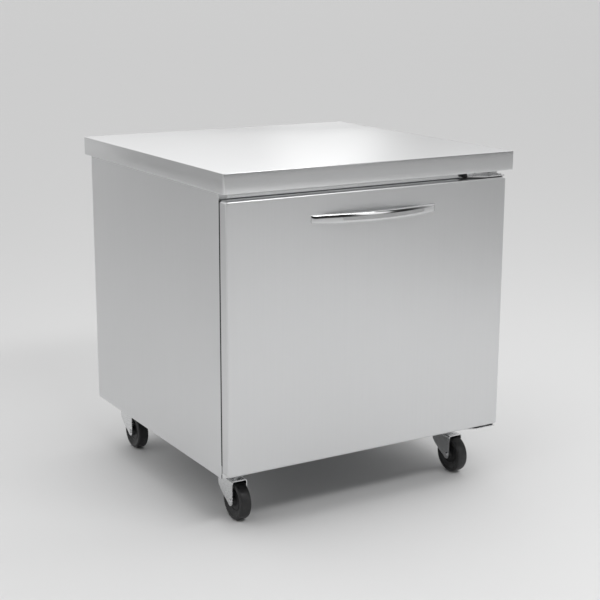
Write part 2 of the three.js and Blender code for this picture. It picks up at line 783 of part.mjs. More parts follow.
// ---- Fans --------------------------------------------------------------------------------

// Pitched blades on a hub about y, with a bore for the motor's shaft.
function fanShape(radius) {
  const halfLength = blade.hubLength / 2;
  const centre = { x: 0, y: 0, z: 0 };
  const hub = rod("y", centre, [-halfLength, halfLength], blade.hub);
  const span = outline([
    [-blade.root, blade.hub - blade.sunk],
    [blade.root, blade.hub - blade.sunk],
    [radius * 0.42, radius * 0.7],
    [radius * 0.3, radius * 0.93],
    [-radius * 0.18, radius * 0.97],
    [-radius * 0.34, radius * 0.72],
  ]);
  const blades = [];
  for (let i = 0; i < blade.count; i += 1) {
    const one = runAlongY(span, around(0, blade.thickness));
    one.rotateZ(THREE.MathUtils.degToRad(blade.pitch));
    blades.push(one.rotateY((2 * Math.PI * i) / blade.count));
  }
  const bore = rod("y", centre, [-halfLength - past, halfLength + past], blade.shaft + running, shaftFacets);
  return cut(join(hub, ...blades), bore);
}

// A motor behind a fan plate: can, shaft towards the fan and two straps that reach the plate.
function motorShape(axis, plateY, bladeY, { motor, motorLength, opening }, away) {
  const canNear = bladeY + away * (blade.hubLength / 2 + blade.motorGap);
  const can = rod("y", axis, ordered(canNear, canNear + away * motorLength), motor);
  const shaftTip = bladeY - away * (blade.hubLength / 2 - blade.shaftGap);
  const shaftRange = ordered(canNear + away * past, shaftTip);
  const shaft = rod("y", axis, shaftRange, blade.shaft, shaftFacets);
  const arm = opening + strap.beyond;
  const strapNear = canNear + away * strap.setBack;
  const strapY = ordered(strapNear, strapNear + away * strap.thickness);
  const bar = block(around(axis.x, 2 * arm), strapY, around(axis.z, strap.width));
  const feet = [-1, 1].map((side) =>
    block(
      ordered(axis.x + side * arm, axis.x + side * (arm - strap.foot)),
      ordered(plateY + away * seam, strapNear + (away * strap.thickness) / 2),
      around(axis.z, strap.width),
    ),
  );
  return join(can, shaft, bar, ...feet);
}

// ---- Evaporator, inside the cavity -------------------------------------------------------

function makeEvaporator() {
  const width = [-evaporatorHalf, evaporatorHalf];
  const height = [coverBottom, cavity.ceiling - seam];
  const depth = [coverFront, cavity.back - seam];
  const shell = block(width, depth, height);
  const hollow = block(grow(width, -sheet), [coverFront + sheet, cavity.back + past], grow(height, -sheet));
  const throughFront = grow([coverFront, coverFront + sheet], past);
  const opening = rod("y", coolAxis, throughFront, coolFan.opening, 24);
  const slots = [];
  const slotWidth = [knobX + intake.fromKnob, coolAxis.x - intake.fromFan];
  for (let row = 0; row < intake.rows; row += 1) {
    const z = height[0] + intake.bottom + row * intake.pitch;
    slots.push(block(slotWidth, throughFront, around(z, intake.height)));
  }
  const stemHole = rod("y", { x: knobX, z: coolAxis.z }, throughFront, knob.stem + running, shaftFacets);
  piece("evaporator_cover", "aluminium", cut(shell, hollow, opening, stemHole, ...slots));

  const coilRear = cavity.back - evaporator.coilGap;
  const coilDepth = [coilRear - evaporator.coil, coilRear];
  const coilHeight = around((height[0] + height[1]) / 2, evaporator.coilHeight);
  const coil = finBlock([-coilRight, coilRight], coilDepth, coilHeight, evaporator.finGroups);
  piece("evaporator_coil", "aluminium", coil);

  const bladeY = coverFront + sheet + blade.hubLength / 2 + coolFan.setBack;
  const motor = motorShape(coolAxis, coverFront + sheet, bladeY, coolFan, 1);
  piece("evaporator_fan_motor", "blackPaint", motor);
  const fan = jointGroup(new THREE.Vector3(coolAxis.x, bladeY, coolAxis.z));
  piece("evaporator_fan_blade", "greyPlastic", fanShape(coolFan.opening - coolFan.tipGap), fan);

  const dial = jointGroup(new THREE.Vector3(knobX, coverFront, coolAxis.z));
  const centre = { x: 0, y: 0, z: 0 };
  const cap = rod("y", centre, [-seam - knob.depth, -seam], knob.radius, 20);
  const stem = rod("y", centre, [-seam - past, sheet + knob.stemLength], knob.stem, shaftFacets);
  const capFront = -seam - knob.depth;
  const gripDepth = [capFront - knob.grip, capFront + past];
  const grip = block(around(0, knob.grip), gripDepth, around(0, 1.7 * knob.radius));
  piece("thermostat_knob", "blackPlastic", join(cap, stem, grip), dial);
}

// A finned coil as one body: a core with grooves between groups of fins and an end plate each side.
function finBlock(width, depth, height, groups) {
  const grooves = [];
  const pitch = (width[1] - width[0]) / groups;
  const grooveDepth = [depth[0] - past, depth[0] + groove.depth];
  for (let i = 0; i < groups; i += 1) {
    const x = width[0] + (i + 0.5) * pitch;
    grooves.push(block(around(x, pitch * groove.share), grooveDepth, grow(height, -groove.border)));
  }
  return cut(block(width, depth, height), ...grooves);
}

// ---- Condensing unit, in the machine room ------------------------------------------------

function makeCondensingUnit() {
  const width = around(condenserX, condenser.width);
  const height = [condenserBottom, condenserTop];
  const coil = finBlock(width, [condenserFront, condenserBack], height, condenser.finGroups);
  const legs = [-1, 1].map((side) =>
    block(
      around(condenserX + side * (condenser.width / 2 - condenserLeg.inset), condenserLeg.width),
      grow([condenserFront, condenserBack], -condenserLeg.margin),
      [baseTop + seam, condenserBottom + past],
    ),
  );
  piece("condenser_coil", "aluminium", join(coil, ...legs));

  const shroudDepth = [shroudFront, condenserFront - seam];
  const box = block(width, shroudDepth, height);
  const hollowDepth = [shroudFront + sheet, condenserFront + past];
  const hollow = block(grow(width, -sheet), hollowDepth, grow(height, -sheet));
  const opening = rod("y", hotAxis, grow(shroudDepth, past), hotFan.opening, 24);
  piece("condenser_shroud", "blackPaint", cut(box, hollow, opening));

  const bladeY = shroudFront + blade.hubLength / 2 - hotFan.proud;
  const motor = motorShape(hotAxis, shroudFront, bladeY, hotFan, -1);
  piece("condenser_fan_motor", "blackPaint", motor);
  const fan = jointGroup(new THREE.Vector3(hotAxis.x, bladeY, hotAxis.z));
  piece("condenser_fan_blade", "aluminium", fanShape(hotFan.opening - hotFan.tipGap), fan);
}

const standHeight = baseTop + seam + compressorBase.thickness;
const compressorBottom = standHeight + compressorBase.grommetHeight + seam;
const portOffset = compressor.ports / 2;
const portTop = compressorBottom + compressor.height + compressor.portRise;
const compressorAt = { x: half - compressor.fromSide, y: machineMiddle, z: compressorBottom };

function makeCompressor() {
  const { radius, height } = compressor;
  const dome = radius * compressor.dome;
  const steps = 3;
  const profile = [[0, compressor.lift]];
  for (let i = 1; i <= steps; i += 1) {
    const angle = (Math.PI / 2) * (i / steps);
    profile.push([radius * Math.sin(angle), compressor.lift + dome * (1 - Math.cos(angle))]);
  }
  for (let i = steps; i >= 0; i -= 1) {
    const angle = (Math.PI / 2) * (i / steps);
    profile.push([radius * Math.sin(angle), height - dome * (1 - Math.cos(angle))]);
  }
  const can = turned(profile, compressorAt, 20);
  const foot = block(
    around(compressorAt.x, compressorFoot.width),
    around(compressorAt.y, compressorFoot.depth),
    [compressorBottom, compressorBottom + compressorFoot.thickness],
  );
  const ports = [-1, 1].map((side) => {
    const at = { x: compressorAt.x + side * portOffset, y: compressorAt.y };
    return rod("z", at, [portTop - compressor.neckLength, portTop], compressor.neck, 12);
  });
  const terminal = block(
    around(compressorAt.x, terminalCover.width),
    [compressorAt.y + radius - terminalCover.sunk, compressorAt.y + radius + terminalCover.reach],
    around(compressorBottom + height / 2, terminalCover.height),
  );
  piece("compressor", "blackPaint", join(can, foot, ...ports, terminal));

  const plateX = around(compressorAt.x, compressorBase.width);
  const plateY = around(compressorAt.y, compressorBase.depth);
  const plate = block(plateX, plateY, [baseTop + seam, standHeight]);
  const grommets = [];
  for (const x of grow(plateX, -compressorBase.inset)) {
    for (const y of grow(plateY, -compressorBase.inset)) {
      const range = [standHeight - past, compressorBottom - seam];
      grommets.push(rod("z", { x, y }, range, compressorBase.grommet, 12));
    }
  }
  piece("compressor_base", "galvanised", join(plate, ...grommets));
}

function makeMachineRoomFittings() {
  const width = around(drainPan.fromMiddle, drainPan.width);
  const depth = around(machineMiddle, drainPan.depth);
  const low = baseTop + drainPan.lift;
  const outer = block(width, depth, [low, low + drainPan.height]);
  const { wall: skin } = drainPan;
  const inner = block(grow(width, -skin), grow(depth, -skin), [low + skin, low + drainPan.height + past]);
  piece("condensate_pan", "blackPlastic", cut(outer, inner));

  const boxBottom = bottom + controlBox.bottom;
  const boxX = around(half - controlBox.fromSide, controlBox.width);
  const boxY = [machineFront + seam, machineFront + seam + controlBox.depth];
  const boxZ = [boxBottom, boxBottom + controlBox.height];
  const lidY = [boxY[1] - controlBox.lid, boxY[1] - controlBox.lid + controlBox.lidLine];
  const lidLine = block(grow(boxX, past), lidY, grow(boxZ, past));
  const lidCore = block(grow(boxX, -controlBox.score), grow(lidY, past), grow(boxZ, -controlBox.score));
  piece("control_box", "greyPlastic", cut(block(boxX, boxY, boxZ), cut(lidLine, lidCore)));
}

function makeRefrigerantLines() {
  const { suction, liquid, drain: waste } = crossings;
  const cavitySide = cavity.back - line.insideWall;
  const coilPort = coilRight + seam;
  const { y: portY } = compressorAt;
  const suctionPort = compressorAt.x + portOffset;
  const lineTop = portTop + line.rise;
  piece("suction_line", "copper", tube([
    [coilPort, cavitySide, suction.z],
    [suction.x, cavitySide, suction.z],
    [suction.x, machineFront + line.fromWall, suction.z],
    [suction.x, machineFront + line.fromWall, lineTop],
    [suctionPort, portY, lineTop],
    [suctionPort, portY, portTop + seam],
  ], line.suction, 36));

  const condenserPort = condenserX + condenser.width / 2 + seam;
  const drierX = condenserPort + drier.fromCondenser + drier.radius;
  const drierY = condenserBack - condenser.depth / 2;
  const drierBottom = condenserTop + drier.overCondenser;
  const drierTop = drierBottom + drier.length;
  const can = rod("z", { x: drierX, y: drierY }, [drierBottom, drierTop], drier.radius);
  const stub = tube([
    [condenserPort, drierY, condenserTop - line.underCondenserTop],
    [drierX, drierY, condenserTop - line.underCondenserTop],
    [drierX, drierY, drierBottom + past],
  ], line.liquid, 12);
  piece("filter_drier", "copper", join(can, stub));

  piece("liquid_line", "copper", tube([
    [drierX, drierY, drierTop + seam],
    [drierX, drierY, liquid.z],
    [liquid.x, machineFront + line.fromWall, liquid.z],
    [liquid.x, cavitySide, liquid.z],
    [coilPort, cavitySide, liquid.z],
  ], line.liquid, 32));

  const dischargePort = compressorAt.x - portOffset;
  const inletY = drierY - drier.radius - line.dischargeFromDrier;
  const inletHeight = condenserTop - line.dischargeUnderTop;
  piece("discharge_line", "copper", tube([
    [dischargePort, portY, portTop + seam],
    [dischargePort, portY, inletHeight],
    [drierX, inletY, inletHeight],
    [condenserPort, inletY, inletHeight],
  ], line.discharge, 24));

  const panTop = baseTop + drainPan.lift + drainPan.height;
  piece("drain_tube", "whitePlastic", tube([
    [waste.x, cavity.back - drain.intoCover, waste.z],
    [waste.x, machineFront + drain.fromWall, waste.z],
    [waste.x, machineMiddle, (waste.z + panTop) / 2],
    [waste.x, machineMiddle, panTop - drain.intoPan],
  ], drain.radius, 26));
}

// ---- Assembly ----------------------------------------------------------------------------

makeWorktop();
makeSidePanels();
makeBaseAndTop();
makeFaceFrame();
makeLinerAndInsulation();
makeRearCover();
makePowerInlet();
makeDoor();
makeHinges();

const casterY = { front: face + caster.fromFront, rear: back - caster.fromBack };
for (const [end, y] of Object.entries(casterY)) {
  for (const [hand, side] of [["left", -1], ["right", 1]]) {
    makeCaster(end + "_" + hand, side * (half - caster.fromSide), y);
  }
}

makeShelf("lower_shelf", shelf.lower);
makeShelf("upper_shelf", shelf.upper);
const pilasterY = {
  front: shelfDepth[0] + pilaster.fromShelfEnd,
  rear: shelfDepth[1] - pilaster.fromShelfEnd,
};
for (const [end, y] of Object.entries(pilasterY)) {
  for (const [hand, side] of [["left", -1], ["right", 1]]) {
    makePilaster("pilaster_" + end + "_" + hand, side, y);
  }
}

makeEvaporator();
makeCondensingUnit();
makeCompressor();
makeMachineRoomFittings();
makeRefrigerantLines();

export default refrigerator;
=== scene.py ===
"""Looks of the undercounter refrigerator: camera, light, and the fine surface of every piece.

Metres, in the part's own frame: +Z up, the door faces -Y, the origin on the floor under the middle.
"""
import json
import math
from collections import namedtuple

import bmesh
import bpy
from mathutils import Euler, Matrix, Vector


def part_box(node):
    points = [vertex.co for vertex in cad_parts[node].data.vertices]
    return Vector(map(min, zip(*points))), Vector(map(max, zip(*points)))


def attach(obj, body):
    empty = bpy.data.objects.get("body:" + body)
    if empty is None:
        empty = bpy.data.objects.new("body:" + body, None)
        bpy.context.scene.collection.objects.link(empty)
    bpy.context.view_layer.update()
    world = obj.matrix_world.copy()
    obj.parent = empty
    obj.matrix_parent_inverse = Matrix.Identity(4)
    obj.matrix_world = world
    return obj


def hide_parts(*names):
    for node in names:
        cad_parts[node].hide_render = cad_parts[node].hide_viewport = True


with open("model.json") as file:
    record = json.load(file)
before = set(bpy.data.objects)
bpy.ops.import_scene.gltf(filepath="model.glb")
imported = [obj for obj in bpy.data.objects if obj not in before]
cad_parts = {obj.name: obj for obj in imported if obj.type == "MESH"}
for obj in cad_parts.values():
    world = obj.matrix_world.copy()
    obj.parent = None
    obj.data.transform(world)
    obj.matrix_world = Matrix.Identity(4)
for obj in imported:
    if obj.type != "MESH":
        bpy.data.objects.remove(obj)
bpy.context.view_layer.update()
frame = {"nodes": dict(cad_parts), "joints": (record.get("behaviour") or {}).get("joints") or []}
scene = bpy.context.scene
scene.view_settings.view_transform = "Standard"
CORNERS = ["front_left", "front_right", "rear_left", "rear_right"]


# ---- Camera, light and floor ---------------------------------------------------------------


def make_camera():
    """Stands to the left of the door and looks down at the cabinet."""
    data = bpy.data.cameras.new("camera")
    data.lens = 79.8
    data.sensor_width = 36.0
    data.clip_end = 500.0
    camera = bpy.data.objects.new("camera", data)
    tilt_down, turned, roll = 0.2372, -0.54, 0.0037
    place = Matrix.Translation((-1.7387, -2.9374, 1.2691))
    aim = Euler((math.pi / 2 - tilt_down, 0.0, turned)).to_matrix().to_4x4()
    camera.matrix_world = place @ aim @ Matrix.Rotation(roll, 4, "Z")
    scene.collection.objects.link(camera)
    scene.camera = camera


def make_light(name, place, target, size, power):
    """A soft box that the camera does not see."""
    data = bpy.data.lights.new(name, "AREA")
    data.shape = "RECTANGLE"
    data.size, data.size_y = size
    data.energy = power
    light = bpy.data.objects.new(name, data)
    light.location = place
    light.rotation_euler = (Vector(target) - Vector(place)).to_track_quat("-Z", "Y").to_euler()
    light.visible_camera = False
    scene.collection.objects.link(light)


def make_flag(name, start, end, height, shade):
    """A grey panel that stands on the floor, hidden from the camera, to shade a reflection."""
    along = (Vector(end) - Vector(start)).normalized() * 0.01
    across = Vector((-along.y, along.x))
    corners = [Vector(start) - across, Vector(end) - across, Vector(end) + across, Vector(start) + across]
    bm = bmesh.new()
    loft(bm, [[(*corner, z) for corner in corners] for z in (0.0, height)])
    bmesh.ops.recalc_face_normals(bm, faces=bm.faces)
    mesh = bpy.data.meshes.new(name)
    bm.to_mesh(mesh)
    bm.free()
    finish = Finish(name)
    cloud = finish.noise(2.0)
    color = finish.tint(cloud, (shade, shade, shade), (shade, shade, shade))
    mesh.materials.append(finish.done(color, finish.spread(cloud, 0.8, 0.9)))
    flag = bpy.data.objects.new(name, mesh)
    scene.collection.objects.link(flag)
    flag.visible_camera = False


# A brighter or darker place in the surroundings. Azimuth is turned from +Y towards +X; the factor
# is full within the core and fades out at the width, all in degrees; tall stretches it upwards.
Patch = namedtuple("Patch", "azimuth elevation core width tall factor")


def make_world(horizon, zenith, patches):
    """Even surroundings that brighten upwards, with soft patches."""
    world = bpy.data.worlds.new("studio")
    world.use_nodes = True
    tree = world.node_tree
    look = tree.nodes.new("ShaderNodeTexCoord").outputs["Generated"]

    def combine(kind, operation, first, second):
        node = tree.nodes.new(kind)
        node.operation = operation
        tree.links.new(first, node.inputs[0])
        if isinstance(second, bpy.types.NodeSocket):
            tree.links.new(second, node.inputs[1])
        elif second is not None:
            node.inputs[1].default_value = second
        return [output for output in node.outputs if output.enabled][0]

    def ramp(value, start, end, low, high):
        node = tree.nodes.new("ShaderNodeMapRange")
        node.interpolation_type = "SMOOTHSTEP"
        tree.links.new(value, node.inputs["Value"])
        for name, number in zip(("From Min", "From Max", "To Min", "To Max"), (start, end, low, high)):
            node.inputs[name].default_value = number
        return node.outputs["Result"]

    split = tree.nodes.new("ShaderNodeSeparateXYZ")
    tree.links.new(look, split.inputs[0])
    strength = ramp(split.outputs["Z"], 0.0, 0.6, horizon, zenith)
    for patch in patches:
        squash = Vector((1.0, 1.0, 1.0 / patch.tall))
        azimuth, elevation = math.radians(patch.azimuth), math.radians(patch.elevation)
        towards = Vector((math.sin(azimuth), math.cos(azimuth), math.tan(elevation))) * squash
        flat = combine("ShaderNodeVectorMath", "MULTIPLY", look, squash)
        flat = combine("ShaderNodeVectorMath", "NORMALIZE", flat, None)
        near = combine("ShaderNodeVectorMath", "DOT_PRODUCT", flat, towards.normalized())
        edge, core = (math.cos(math.radians(angle)) for angle in (patch.width, patch.core))
        factor = ramp(near, edge, core, 1.0, patch.factor)
        strength = combine("ShaderNodeMath", "MULTIPLY", strength, factor)
    background = tree.nodes["Background"]
    background.inputs["Color"].default_value = (1.0, 1.0, 1.0, 1.0)
    tree.links.new(strength, background.inputs["Strength"])
    scene.world = world


# ---- Finishes ------------------------------------------------------------------------------


class Finish:
    """A Principled material whose detail is noise in the piece's own coordinates."""

    def __init__(self, name, metallic=0.0):
        self.material = bpy.data.materials.new(name)
        self.material.use_nodes = True
        self.tree = self.material.node_tree
        self.shader = self.tree.nodes["Principled BSDF"]
        self.shader.inputs["Metallic"].default_value = metallic
        self.place = self.tree.nodes.new("ShaderNodeTexCoord").outputs["Object"]
        self.normal = None

    def add(self, kind, inputs=(), **settings):
        node = self.tree.nodes.new(kind)
        for key, value in settings.items():
            setattr(node, key, value)
        for key, value in dict(inputs).items():
            if isinstance(value, bpy.types.NodeSocket):
                self.tree.links.new(value, node.inputs[key])
            else:
                node.inputs[key].default_value = value
        return node

    def stretched(self, stretch):
        return self.add("ShaderNodeMapping", {"Vector": self.place, "Scale": stretch}).outputs["Vector"]

    def noise(self, scale, detail=2.0, stretch=(1.0, 1.0, 1.0)):
        inputs = {"Vector": self.stretched(stretch), "Scale": scale, "Detail": detail}
        return self.add("ShaderNodeTexNoise", inputs).outputs["Fac"]

    def cells(self, scale):
        inputs = {"Vector": self.place, "Scale": scale}
        return self.add("ShaderNodeTexVoronoi", inputs).outputs["Color"]

    def spread(self, fac, low, high, start=0.3, end=0.7):
        inputs = {"Value": fac, "From Min": start, "From Max": end, "To Min": low, "To Max": high}
        return self.add("ShaderNodeMapRange", inputs).outputs["Result"]

    def plus(self, first, second):
        return self.add("ShaderNodeMath", {0: first, 1: second}, operation="ADD").outputs["Value"]

    def tint(self, fac, dark, light, start=0.3, end=0.7):
        ramp = self.add("ShaderNodeValToRGB", {"Fac": fac})
        for stop, place, color in zip(ramp.color_ramp.elements, (start, end), (dark, light)):
            stop.position = place
            stop.color = (*color, 1.0)
        return ramp.outputs["Color"]

    def stain(self, color, fac, over):
        inputs = {"Factor": fac, "A": color, "B": (*over, 1.0)}
        node = self.add("ShaderNodeMix", data_type="RGBA")
        for key, value in inputs.items():
            socket = [s for s in node.inputs if s.name == key and s.type in ("VALUE", "RGBA")]
            socket = socket[0] if key == "Factor" else socket[-1]
            if isinstance(value, bpy.types.NodeSocket):
                self.tree.links.new(value, socket)
            else:
                socket.default_value = value
        return [s for s in node.outputs if s.type == "RGBA"][0]

    def bump(self, height, depth):
        inputs = {"Height": height, "Distance": depth}
        if self.normal is not None:
            inputs["Normal"] = self.normal
        self.normal = self.add("ShaderNodeBump", inputs).outputs["Normal"]

    def done(self, color, roughness):
        self.tree.links.new(color, self.shader.inputs["Base Color"])
        self.tree.links.new(roughness, self.shader.inputs["Roughness"])
        if self.normal is not None:
            self.tree.links.new(self.normal, self.shader.inputs["Normal"])
        return self.material


def scaled(color, factor):
    return tuple(min(1.0, c * factor) for c in color)


def brushed(name, color, along, roughness):
    """Sheet steel ground in one direction: fine lines, broader streaks, faint wiped clouds."""
    finish = Finish(name, metallic=1.0)
    line = [1.0, 1.0, 1.0]
    line[along] = 0.012
    grain = finish.noise(1500.0, 1.0, line)
    streak = finish.noise(210.0, 3.0, line)
    cloud = finish.noise(2.6, 4.0)
    finish.bump(grain, 0.000004)
    worn = finish.plus(finish.spread(streak, 0.0, 0.4), finish.spread(cloud, 0.0, 0.6))
    color = finish.tint(worn, scaled(color, 0.985), scaled(color, 1.012), 0.15, 0.85)
    fine = finish.spread(grain, roughness - 0.02, roughness + 0.02)
    return finish.done(color, finish.plus(fine, finish.spread(worn, -0.012, 0.012, 0.15, 0.85)))


def plated(name, color, roughness, spangle, contrast):
    """Zinc-coated steel: crystals or a cloudy passivated film, with handling marks."""
    finish = Finish(name, metallic=1.0)
    cells = finish.cells(spangle)
    cloud = finish.noise(38.0, 5.0)
    finish.bump(finish.noise(320.0, 2.0), 0.000003)
    blend = finish.plus(finish.spread(cells, 0.0, 0.5, 0.0, 1.0), finish.spread(cloud, 0.0, 0.5))
    dark, light = scaled(color, 1.0 - contrast), scaled(color, 1.0 + contrast / 2)
    color = finish.tint(blend, dark, light, 0.1, 0.9)
    half = contrast / 2
    return finish.done(color, finish.spread(blend, roughness - half, roughness + half, 0.1, 0.9))


def polished(name, color, roughness):
    """Chrome plate: a mirror with faint wipe marks."""
    finish = Finish(name, metallic=1.0)
    wipe = finish.noise(26.0, 5.0, (1.0, 1.0, 2.5))
    finish.bump(finish.noise(60.0, 2.0), 0.00001)
    color = finish.tint(wipe, scaled(color, 0.96), color)
    return finish.done(color, finish.spread(wipe, roughness, roughness + 0.07))


def moulded(name, color, roughness, texture=1400.0, depth=0.00004, dust=0.0):
    """Moulded plastic, rubber or enamel: a fine pebble, cloudy shine and a little dust."""
    finish = Finish(name, metallic=0.0)
    pebble = finish.noise(texture, 3.0)
    cloud = finish.noise(14.0, 4.0)
    finish.bump(pebble, depth)
    tone = finish.tint(cloud, scaled(color, 0.82), scaled(color, 1.18))
    if dust:
        lying = finish.spread(finish.noise(70.0, 6.0), 0.0, dust, 0.45, 0.8)
        tone = finish.stain(tone, lying, (0.32, 0.31, 0.29))
    both = finish.plus(pebble, cloud)
    return finish.done(tone, finish.spread(both, roughness - 0.08, roughness + 0.08, 0.7, 1.3))


def tarnished(name, color, dark, roughness):
    """Drawn copper tube: bright metal with brown patches."""
    finish = Finish(name, metallic=1.0)
    patch = finish.noise(45.0, 6.0)
    finish.bump(finish.noise(700.0, 2.0), 0.00002)
    tone = finish.tint(patch, dark, color, 0.35, 0.6)
    return finish.done(tone, finish.spread(patch, roughness + 0.2, roughness))


def board(name, light, dark):
    """Plain sawn board: long rings and short pores."""
    finish = Finish(name, metallic=0.0)
    rings = finish.noise(60.0, 5.0, (0.06, 1.0, 1.0))
    finish.bump(rings, 0.0002)
    return finish.done(finish.tint(rings, dark, light), finish.spread(rings, 0.65, 0.85))


def foamed(name, light, dark):
    """Cut rigid foam: tiny open cells over cloudy colour."""
    finish = Finish(name, metallic=0.0)
    cells = finish.cells(900.0)
    finish.bump(cells, 0.0003)
    tone = finish.tint(finish.noise(20.0, 4.0), dark, light)
    return finish.done(tone, finish.spread(cells, 0.85, 0.95, 0.0, 1.0))


def make_finishes():
    steel = (0.72, 0.725, 0.73)
    return {
        "steel_x": brushed("stainless_lengthwise", steel, 0, 0.19),
        "steel_z": brushed("stainless_upright", steel, 2, 0.34),
        "galvanised": plated("galvanised", (0.40, 0.41, 0.42), 0.42, 90.0, 0.14),
        "zinc": plated("bright_zinc", (0.74, 0.745, 0.75), 0.27, 420.0, 0.02),
        "chrome": polished("chrome", (0.66, 0.665, 0.67), 0.03),
        "aluminium": brushed("mill_aluminium", (0.80, 0.805, 0.81), 2, 0.36),
        "copper": tarnished("copper", (0.76, 0.42, 0.27), (0.34, 0.17, 0.11), 0.26),
        "black_paint": moulded("black_enamel", (0.022, 0.022, 0.024), 0.36, 260.0, 0.00008, 0.12),
        "black_plastic": moulded("black_plastic", (0.016, 0.016, 0.017), 0.42),
        "grey_plastic": moulded("grey_plastic", (0.30, 0.31, 0.32), 0.42),
        "white_plastic": moulded("white_plastic", (0.78, 0.785, 0.785), 0.3, 800.0, 0.00003),
        "rubber": moulded("rubber", (0.012, 0.012, 0.013), 0.6, 900.0, 0.00008),
        "tread": moulded("tread", (0.011, 0.011, 0.012), 0.40, 600.0, 0.00006, 0.05),
        "foam": foamed("foam", (0.82, 0.76, 0.56), (0.70, 0.62, 0.42)),
        "timber": board("board", (0.62, 0.48, 0.31), (0.42, 0.30, 0.18)),
        "epoxy_wire": moulded("coated_wire", (0.74, 0.745, 0.75), 0.3, 500.0, 0.00003),
    }


LINER_SKIN = 0.001
PLUG_CLEARANCE = 0.020  # door liner's raised middle to the opening, all round


# ---- Mesh helpers --------------------------------------------------------------------------


def add_piece(name, bm, finish, body, nodes=(), smooth=35.0, ease=0.0):
    """Turns a mesh into a piece that rides on a body and stands for CAD nodes."""
    bmesh.ops.remove_doubles(bm, verts=bm.verts, dist=1e-6)
    bmesh.ops.recalc_face_normals(bm, faces=bm.faces)
    mesh = bpy.data.meshes.new(name)
    bm.to_mesh(mesh)
    bm.free()
    mesh.polygons.foreach_set("use_smooth", [True] * len(mesh.polygons))
    mesh.set_sharp_from_angle(angle=math.radians(smooth))
    mesh.materials.append(finishes[finish])
    piece = bpy.data.objects.new(name, mesh)
    scene.collection.objects.link(piece)
    if ease:
        ease_edges(piece, ease)
    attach(piece, body)
    if nodes:
        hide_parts(*nodes)
    return piece


def ease_edges(piece, width, angle=40.0):
    """Rounds the edges that are sharper than the angle, given in degrees."""
    bevel = piece.modifiers.new("eased_edges", "BEVEL")
    bevel.width = width
    bevel.segments = 2
    bevel.limit_method = "ANGLE"
    bevel.angle_limit = math.radians(angle)
    bevel.harden_normals = True
    bevel.use_clamp_overlap = True


def loft(bm, rings, cap_first=True, cap_last=True, closed=False):
    """Skins a list of rings that have the same number of points."""
    rows = [[bm.verts.new(point) for point in ring] for ring in rings]
    pairs = list(zip(rows, rows[1:]))
    if closed:
        pairs.append((rows[-1], rows[0]))
    for first, second in pairs:
        for i in range(len(first)):
            j = (i + 1) % len(first)
            bm.faces.new((first[i], first[j], second[j], second[i]))
    if cap_first and not closed:
        bm.faces.new(rows[0][::-1])
    if cap_last and not closed:
        bm.faces.new(rows[-1])


def rounded_ring(low, high, radius, segments, place):
    """Points round a rectangle with rounded corners; place turns (u, v) into a point."""
    radius = max(radius, 1e-5)
    centres = [
        (high[0] - radius, high[1] - radius, 0.0),
        (low[0] + radius, high[1] - radius, 0.5),
        (low[0] + radius, low[1] + radius, 1.0),
        (high[0] - radius, low[1] + radius, 1.5),
    ]
    ring = []
    for u, v, start in centres:
        for i in range(segments + 1):
            angle = math.pi * (start + 0.5 * i / segments)
            ring.append(place(u + radius * math.cos(angle), v + radius * math.sin(angle)))
    return ring


def inset_ring(low, high, inset, radius, segments, place):
    """A rounded ring moved inwards, whose corners keep their centres."""
    low = (low[0] + inset, low[1] + inset)
    high = (high[0] - inset, high[1] - inset)
    return rounded_ring(low, high, radius - inset if radius > inset else 1e-4, segments, place)


def quarter(radius, segments):
    """(inset, drop) along a quarter round, from the face to the side."""
    steps = [math.pi / 2 * i / segments for i in range(segments + 1)]
    return [(radius * (1 - math.sin(a)), radius * (1 - math.cos(a))) for a in steps]


def add_box(bm, low, high, ease=0.0, segments=2):
    """A block between two corners, with its edges eased if asked."""
    made = bmesh.ops.create_cube(bm, size=1.0)
    middle = (Vector(low) + Vector(high)) / 2
    size = Vector(high) - Vector(low)
    for vert in made["verts"]:
        vert.co = Vector(a * b for a, b in zip(vert.co, size)) + middle
    if ease:
        edges = list({edge for vert in made["verts"] for edge in vert.link_edges})
        bmesh.ops.bevel(
            bm, geom=edges, offset=ease, segments=segments, profile=0.5, affect="EDGES", clamp_overlap=True)


def turn(bm, profile, centre, axis, segments=48, closed=False, phase=0.0):
    """A solid of revolution: profile is (radius, height along the axis from the centre)."""
    axis = Vector(axis).normalized()
    across = axis.orthogonal().normalized()
    if abs(axis.z) < 0.9:
        across = axis.cross(Vector((0, 0, 1))).normalized()
    other = axis.cross(across)
    rings = []
    for radius, height in profile:
        ring = []
        for i in range(segments):
            angle = 2 * math.pi * (i + phase) / segments
            out = across * math.cos(angle) + other * math.sin(angle)
            ring.append(Vector(centre) + axis * height + out * radius)
        rings.append(ring)
    loft(bm, rings, closed=closed)


def rounded_profile(points, radius, segments=4):
    """A polyline with its inner corners rounded."""
    result = [Vector(points[0])]
    for before, corner, after in zip(points, points[1:], points[2:]):
        corner = Vector(corner)
        into = Vector(before) - corner
        out = Vector(after) - corner
        reach = min(radius, into.length * 0.49, out.length * 0.49)
        start = corner + into.normalized() * reach
        end = corner + out.normalized() * reach
        for i in range(segments + 1):
            t = i / segments
            result.append(start * (1 - t) ** 2 + corner * 2 * t * (1 - t) + end * t * t)
    result.append(Vector(points[-1]))
    return result


